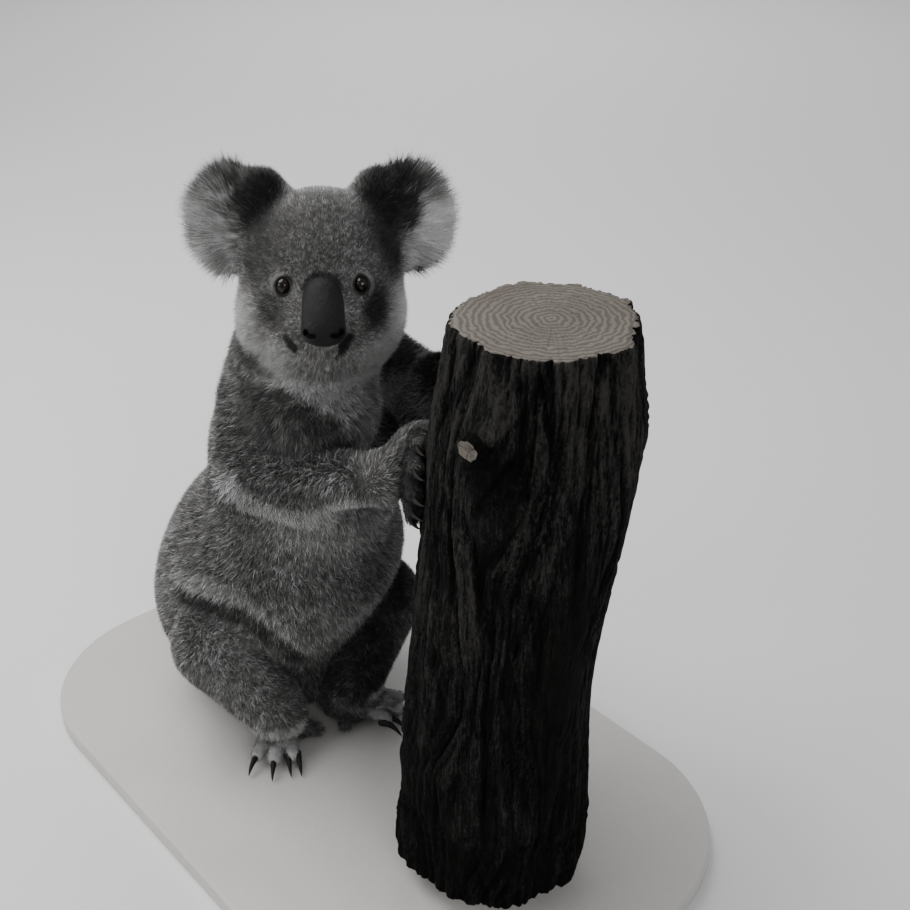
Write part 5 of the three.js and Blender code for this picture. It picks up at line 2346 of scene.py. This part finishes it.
class Groups:
    """Effects that several finishes use, each built once."""

    def __init__(self) -> None:
        """Build every group."""
        self.flecks = self.build_flecks()
        self.grime = self.build_grime()

    def start(
        self, name: str, inputs: dict[str, object], outputs: dict[str, str]
    ) -> tuple[Nodes, bpy.types.Node]:
        """Make an empty group.

        Args:
            name: The group's name.
            inputs: Value of each input, four numbers for a colour.
            outputs: Type of each output.

        Returns:
            The tools for it, and its input node.
        """
        tree = bpy.data.node_groups.new(name, "ShaderNodeTree")
        for label, value in inputs.items():
            kind = "NodeSocketColor" if isinstance(value, tuple) else "NodeSocketFloat"
            tree.interface.new_socket(label, in_out="INPUT", socket_type=kind).default_value = value
        for label, kind in outputs.items():
            tree.interface.new_socket(label, in_out="OUTPUT", socket_type=kind)
        nodes = Nodes(tree)
        return nodes, nodes.add("NodeGroupInput")

    def build_flecks(self) -> bpy.types.ShaderNodeTree:
        """Lighter and darker flecks over a colour, with a height to match.

        Returns:
            The group.
        """
        n, given = self.start("Flecks", {"Color": (0.5, 0.5, 0.5, 1.0), "Scale": 400.0, "Amount": 0.3},
                              {"Color": "NodeSocketColor", "Height": "NodeSocketFloat"})
        fine = n.noise(n.place(), given.outputs["Scale"])
        spread = n.math("MULTIPLY", n.math("SUBTRACT", fine, 0.5), given.outputs["Amount"])
        wider = n.math("MULTIPLY_ADD", spread, 4.0, 1.0)
        inputs = {0: given.outputs["Color"], "Scale": wider}
        flecked = n.add("ShaderNodeVectorMath", inputs, operation="SCALE")
        n.add("NodeGroupOutput", {"Color": flecked.outputs[0], "Height": fine})
        return n.tree

    def build_grime(self) -> bpy.types.ShaderNodeTree:
        """Soft dust and scuffs over a colour, with a roughness to match.

        Returns:
            The group.
        """
        n, given = self.start("Dust and scuffs", {"Color": (0.5, 0.5, 0.5, 1.0), "Dust": (*DUST, 1.0),
                                                  "Amount": 0.3, "Roughness": 0.5},
                              {"Color": "NodeSocketColor", "Roughness": "NodeSocketFloat"})
        share = n.range(n.noise(n.place(), 14.0, 5.0, 0.65), 0.42, 0.72, 0.0, 1.0)
        amount = n.math("MULTIPLY", share, given.outputs["Amount"])
        colour = n.blend(amount, given.outputs["Color"], given.outputs["Dust"])
        rough = n.math("MULTIPLY_ADD", amount, 0.35, given.outputs["Roughness"])
        n.add("NodeGroupOutput", {"Color": colour, "Roughness": rough})
        return n.tree


@dataclass(frozen=True)
class Finish:
    """What a surface is made of. Each kind lays its own nodes."""

    name: str = "matt"

    def material(self, groups: Groups) -> Material:
        """Make the material.

        Args:
            groups: The shared effects.

        Returns:
            The material.
        """
        material = bpy.data.materials.new(self.name)
        material.use_nodes = True
        material.node_tree.nodes.clear()
        n = Nodes(material.node_tree, groups)
        shader = n.add("ShaderNodeBsdfPrincipled")
        n.add("ShaderNodeOutputMaterial", {"Surface": shader.outputs[0]})
        n.feed(shader, self.lay(n))
        return material

    def lay(self, n: Nodes) -> dict[str, object]:
        """Lay the nodes, and give what feeds each socket of the shader: here the floor's plain paint."""
        return {"Base Color": (0.80, 0.795, 0.785, 1.0), "Roughness": 0.85}


@dataclass(frozen=True)
class FurFinish(Finish):
    """Hair, coloured by the coat's own markings."""

    roughness: float = 0.82
    amount: float = 0.16
    scale: float = 620.0
    height: float = 0.0
    sheen: float = 0.12

    def lay(self, n: Nodes) -> dict[str, object]:
        """Lay the nodes.

        Args:
            n: Lays the nodes.

        Returns:
            What feeds the shader.
        """
        colour, height = n.flecks(n.painted("coat"), self.scale, self.amount)
        feeds = {"Base Color": colour, "Roughness": self.roughness, "Specular IOR Level": 0.25,
                 "Sheen Weight": self.sheen, "Sheen Roughness": 0.5}
        if self.height:
            feeds["Normal"] = n.bump(height, self.height, 0.0012)
        return feeds


@dataclass(frozen=True)
class NoseFinish(Finish):
    """Matt black leather, fine-pored, its roughness varying in flecks."""

    name: str = "nose_leather"
    pore_scale: float = 900.0

    def lay(self, n: Nodes) -> dict[str, object]:
        """Lay the nodes.

        Args:
            n: Lays the nodes.

        Returns:
            What feeds the shader.
        """
        colour, height = n.flecks(n.painted("hide"), 500.0, 0.2)
        inputs = {"Vector": n.place(), "Scale": self.pore_scale}
        pores = n.add("ShaderNodeTexVoronoi", inputs, feature="DISTANCE_TO_EDGE")
        depth = n.range(pores.outputs["Distance"], 0.0, 0.25, 0.0, 1.0)
        return {"Base Color": colour, "Normal": n.bump(depth, 0.45, 0.0004), "Specular IOR Level": 0.22,
                "Roughness": n.range(height, 0.3, 0.7, 0.48, 0.64)}


@dataclass(frozen=True)
class EyeFinish(Finish):
    """A dark brown iris with an upright slit, under a wet cornea."""

    name: str = "eye_wet"
    rim: Vec = (0.006, 0.005, 0.004)
    iris: Vec = (0.007, 0.0046, 0.003)
    ring: Vec = (0.016, 0.010, 0.0062)

    def lay(self, n: Nodes) -> dict[str, object]:
        """Lay the nodes.

        Args:
            n: Lays the nodes.

        Returns:
            What feeds the shader.
        """
        fibres = n.range(n.noise(n.place(), 900.0, 4.0), 0.3, 0.7, -0.05, 0.05)
        out = n.range(n.math("ADD", n.attribute("from_pupil"), fibres), 0.0, 1.5, 0.0, 1.0)
        colour = n.ramp(out, [(0.0, self.iris), (0.22, self.ring), (0.40, self.iris), (0.50, self.rim),
                              (1.0, self.rim)])
        black = n.range(n.attribute("slit"), 0.85, 1.15, 1.0, 0.0)
        return {"Base Color": n.blend(black, colour, (0.002, 0.002, 0.002, 1.0)), "Roughness": 0.06,
                "Coat Weight": 0.12, "Coat Roughness": 0.02, "Specular IOR Level": 0.25}


@dataclass(frozen=True)
class HornFinish(Finish):
    """Dark claw horn, finely flecked, with a worn tip."""

    name: str = "claw_horn"
    root: Vec = (0.013, 0.011, 0.009)
    middle: Vec = (0.007, 0.006, 0.005)
    tip: Vec = (0.022, 0.018, 0.015)

    def lay(self, n: Nodes) -> dict[str, object]:
        """Lay the nodes.

        Args:
            n: Lays the nodes.

        Returns:
            What feeds the shader.
        """
        stops = [(0.0, self.root), (0.4, self.middle), (0.8, self.middle), (1.0, self.tip)]
        colour, height = n.flecks(n.ramp(n.attribute("along"), stops), 700.0, 0.5)
        return {"Base Color": colour, "Roughness": n.range(height, 0.3, 0.7, 0.5, 0.68),
                "Specular IOR Level": 0.25, "Normal": n.bump(height, 0.25, 0.0003)}


@dataclass(frozen=True)
class BarkFinish(Finish):
    """Weathered stringy bark: furrows in painted shade, grey ridges partly with painted highlight, bared
    brown wood painted nearly black as shade.
    """

    name: str = "bark"
    # Furrow is painted shade; ridge is the weathered grey, lifted by painted highlight; bare is the bared
    # wood, painted nearly black as shade.
    furrow: Vec = (0.0014, 0.0012, 0.001)
    flank: Vec = (0.0055, 0.0066, 0.0058)
    ridge: Vec = (0.042, 0.039, 0.036)
    bare: Vec = (0.005, 0.0041, 0.0035)

    def lay(self, n: Nodes) -> dict[str, object]:
        """Lay the nodes.

        Args:
            n: Lays the nodes.

        Returns:
            What feeds the shader.
        """
        long = n.place(Scale=(1.0, 1.0, 0.11))
        strings, streaks = n.noise(long, 480.0, 4.0, 0.75), n.noise(long, 90.0, 5.0, 0.6)
        bits = n.noise(n.place(Scale=(1.0, 1.0, 0.5)), 700.0, 3.0, 0.7)
        level = n.math("ADD", n.attribute("openness"), n.range(strings, 0.3, 0.7, -0.30, 0.30))
        level = n.math("ADD", level, n.range(streaks, 0.3, 0.7, -0.16, 0.16))
        level = n.math("ADD", level, n.range(bits, 0.3, 0.7, -0.22, 0.22))
        colour = n.ramp(level, [(0.25, self.furrow), (0.55, self.flank), (1.0, self.ridge)])
        # Where the bark has come away the wood is painted nearly black, as painted shade.
        bare_wood_shade = n.range(n.attribute("bare"), 0.25, 0.7, 0.0, 0.9)
        colour = n.blend(bare_wood_shade, colour, n.ramp(strings, [(0.3, self.furrow), (0.7, self.bare)]))
        return {**n.dusted(colour, 0.05, 0.88, (0.05, 0.046, 0.041)), "Specular IOR Level": 0.08,
                "Normal": n.bump(strings, 1.0, 0.003)}


@dataclass(frozen=True)
class SawnWoodFinish(Finish):
    """Sawn end grain with growth rings round a centre."""

    name: str = "sawn_wood"
    centre: Vec = (0.0, 0.0, 0.0)
    pale: Vec = (0.155, 0.135, 0.113)
    dark: Vec = (0.085, 0.072, 0.060)

    def lay(self, n: Nodes) -> dict[str, object]:
        """Lay the nodes.

        Args:
            n: Lays the nodes.

        Returns:
            What feeds the shader.
        """
        moved = n.place(Location=tuple(-v for v in self.centre))
        inputs = {"Vector": moved, "Scale": 70.0, "Distortion": 7.0, "Detail": 3.0, "Detail Scale": 1.4}
        rings = n.add("ShaderNodeTexWave", inputs, wave_type="RINGS", rings_direction="Z").outputs["Fac"]
        colour = n.ramp(rings, [(0.15, self.dark), (0.75, self.pale)])
        return {**n.dusted(colour, 0.5, 0.8, (0.07, 0.055, 0.045)), "Normal": n.bump(rings, 0.5, 0.0006)}


@dataclass(frozen=True)
class PaintFinish(Finish):
    """Satin paint on the base, rolled on, with a little dust and scuffing."""

    name: str = "base_paint"
    colour: Vec = (0.56, 0.545, 0.515)

    def lay(self, n: Nodes) -> dict[str, object]:
        """Fleck, dust and bump the paint, and give what feeds the shader."""
        colour, height = n.flecks(self.colour, 260.0, 0.03)
        return {**n.dusted(colour, 0.14, 0.46), "Normal": n.bump(height, 0.12, 0.0004)}


@dataclass(frozen=True)
class SteelFinish(Finish):
    """Turned steel with fine rings."""

    name: str = "turned_steel"
    colour: Vec = (0.56, 0.56, 0.57)

    def lay(self, n: Nodes) -> dict[str, object]:
        """Dust the steel and bump its rings, and give what feeds the shader."""
        lines = n.noise(n.place(Scale=(0.03, 0.03, 1.0)), 5000.0, 2.0)
        return {**n.dusted(self.colour, 0.25, 0.28), "Metallic": 1.0, "Normal": n.bump(lines, 0.2, 0.0001)}


@dataclass(frozen=True)
class BristleFinish(Finish):
    """Dark whiskers."""

    name: str = "whisker"
    colour: Vec = (0.05, 0.045, 0.04)

    def lay(self, n: Nodes) -> dict[str, object]:
        """Fleck the colour, and give what feeds the shader."""
        return {"Base Color": n.flecks(self.colour, 300.0, 0.4)[0], "Roughness": 0.5}


# ------------ studio


@dataclass(frozen=True)
class Studio:
    """The pale floor, the soft lights and the camera."""

    camera_at: Vec = (-0.490, -0.668, 0.793)
    view: Vec = (0.579, 0.643, -0.5)
    lens: float = 48.15
    sensor: float = 36.0
    floor_half: float = 14.0

    def hang(self, name: str, data: bpy.types.ID, at: Vec, way: Vector) -> Piece:
        """Place a camera or a light.

        Args:
            name: Its name.
            data: Its data.
            at: Where it stands.
            way: The way it looks.

        Returns:
            The object.
        """
        thing = bpy.data.objects.new(name, data)
        bpy.context.scene.collection.objects.link(thing)
        thing.location = at
        thing.rotation_euler = way.to_track_quat("-Z", "Y").to_euler()
        return thing

    def camera(self) -> None:
        """Place the camera."""
        data = bpy.data.cameras.new("camera")
        data.sensor_width, data.lens, data.clip_start = self.sensor, self.lens, 0.02
        bpy.context.scene.camera = self.hang("camera", data, self.camera_at, Vector(self.view))

    def floor(self, finish: Material) -> None:
        """Lay the floor.

        Args:
            finish: The floor's material.
        """
        h = self.floor_half
        mesh = bpy.data.meshes.new("floor")
        corners = [(x, y, -0.0002) for x, y in ((-h, -h), (h, -h), (h, h), (-h, h))]
        mesh.from_pydata(corners, [], [(0, 1, 2, 3)])
        mesh.materials.append(finish)
        floor = bpy.data.objects.new("floor", mesh)
        bpy.context.scene.collection.objects.link(floor)

    def light(self, name: str, at: Vec, size: float, power: float, aim: Vec = (0.0, 0.0, 0.3)) -> None:
        """Hang a square soft light.

        Args:
            name: The light's name.
            at: Where it hangs.
            size: Length of its side.
            power: Its power.
            aim: What it points at.
        """
        data = bpy.data.lights.new(name, "AREA")
        data.size, data.energy = size, power
        self.hang(name, data, at, Vector(aim) - Vector(at))

    def build(self, floor_finish: Material) -> None:
        """Set the stage.

        Args:
            floor_finish: The floor's material.
        """
        self.camera()
        self.floor(floor_finish)
        self.light("softbox_above", (-0.35, 0.95, 2.1), 1.5, 46.0)
        self.light("softbox_left", (-2.0, 0.6, 1.3), 1.2, 14.0)
        self.light("softbox_front", (-0.7, -2.3, 1.7), 1.0, 16.0)
        self.light("softbox_far", (2.4, 2.6, 2.6), 2.0, 60.0, (2.8, 3.0, 0.0))
        world = bpy.data.worlds.new("studio")
        bpy.context.scene.world = world
        world.use_nodes = True
        back = world.node_tree.nodes["Background"]
        back.inputs["Color"].default_value = (0.93, 0.95, 1.0, 1.0)
        back.inputs["Strength"].default_value = 0.38


# ------------ assembly


def main() -> None:
    """Build the dressed model in order."""
    logging.basicConfig(level=logging.INFO, format="%(name)s %(message)s")
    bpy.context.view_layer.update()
    groups = Groups()
    Studio().build(Finish("floor_matt").material(groups))
    anatomy = Anatomy()
    skin = Skin(anatomy, Markings(anatomy))
    skin.grow()
    skin.build(FurFinish("koala_skin", 0.9, 0.2, 900.0, 0.7).material(groups))
    Coat(skin).build(FurFinish("koala_coat").material(groups))
    Eyes(anatomy).build(EyeFinish().material(groups))
    Nose(anatomy).build(NoseFinish().material(groups))
    Claws(anatomy).build(HornFinish().material(groups))
    Whiskers(anatomy, skin).build(BristleFinish().material(groups))
    top = to_model(anatomy.post.axis(np.array(anatomy.post.top)))
    wood = SawnWoodFinish(centre=tuple(float(v) for v in top)).material(groups)
    BarkedPost(anatomy.post).build([BarkFinish().material(groups), wood])
    Stand(post=anatomy.post).build(PaintFinish().material(groups), SteelFinish().material(groups))


if __name__ == "__main__":
    main()
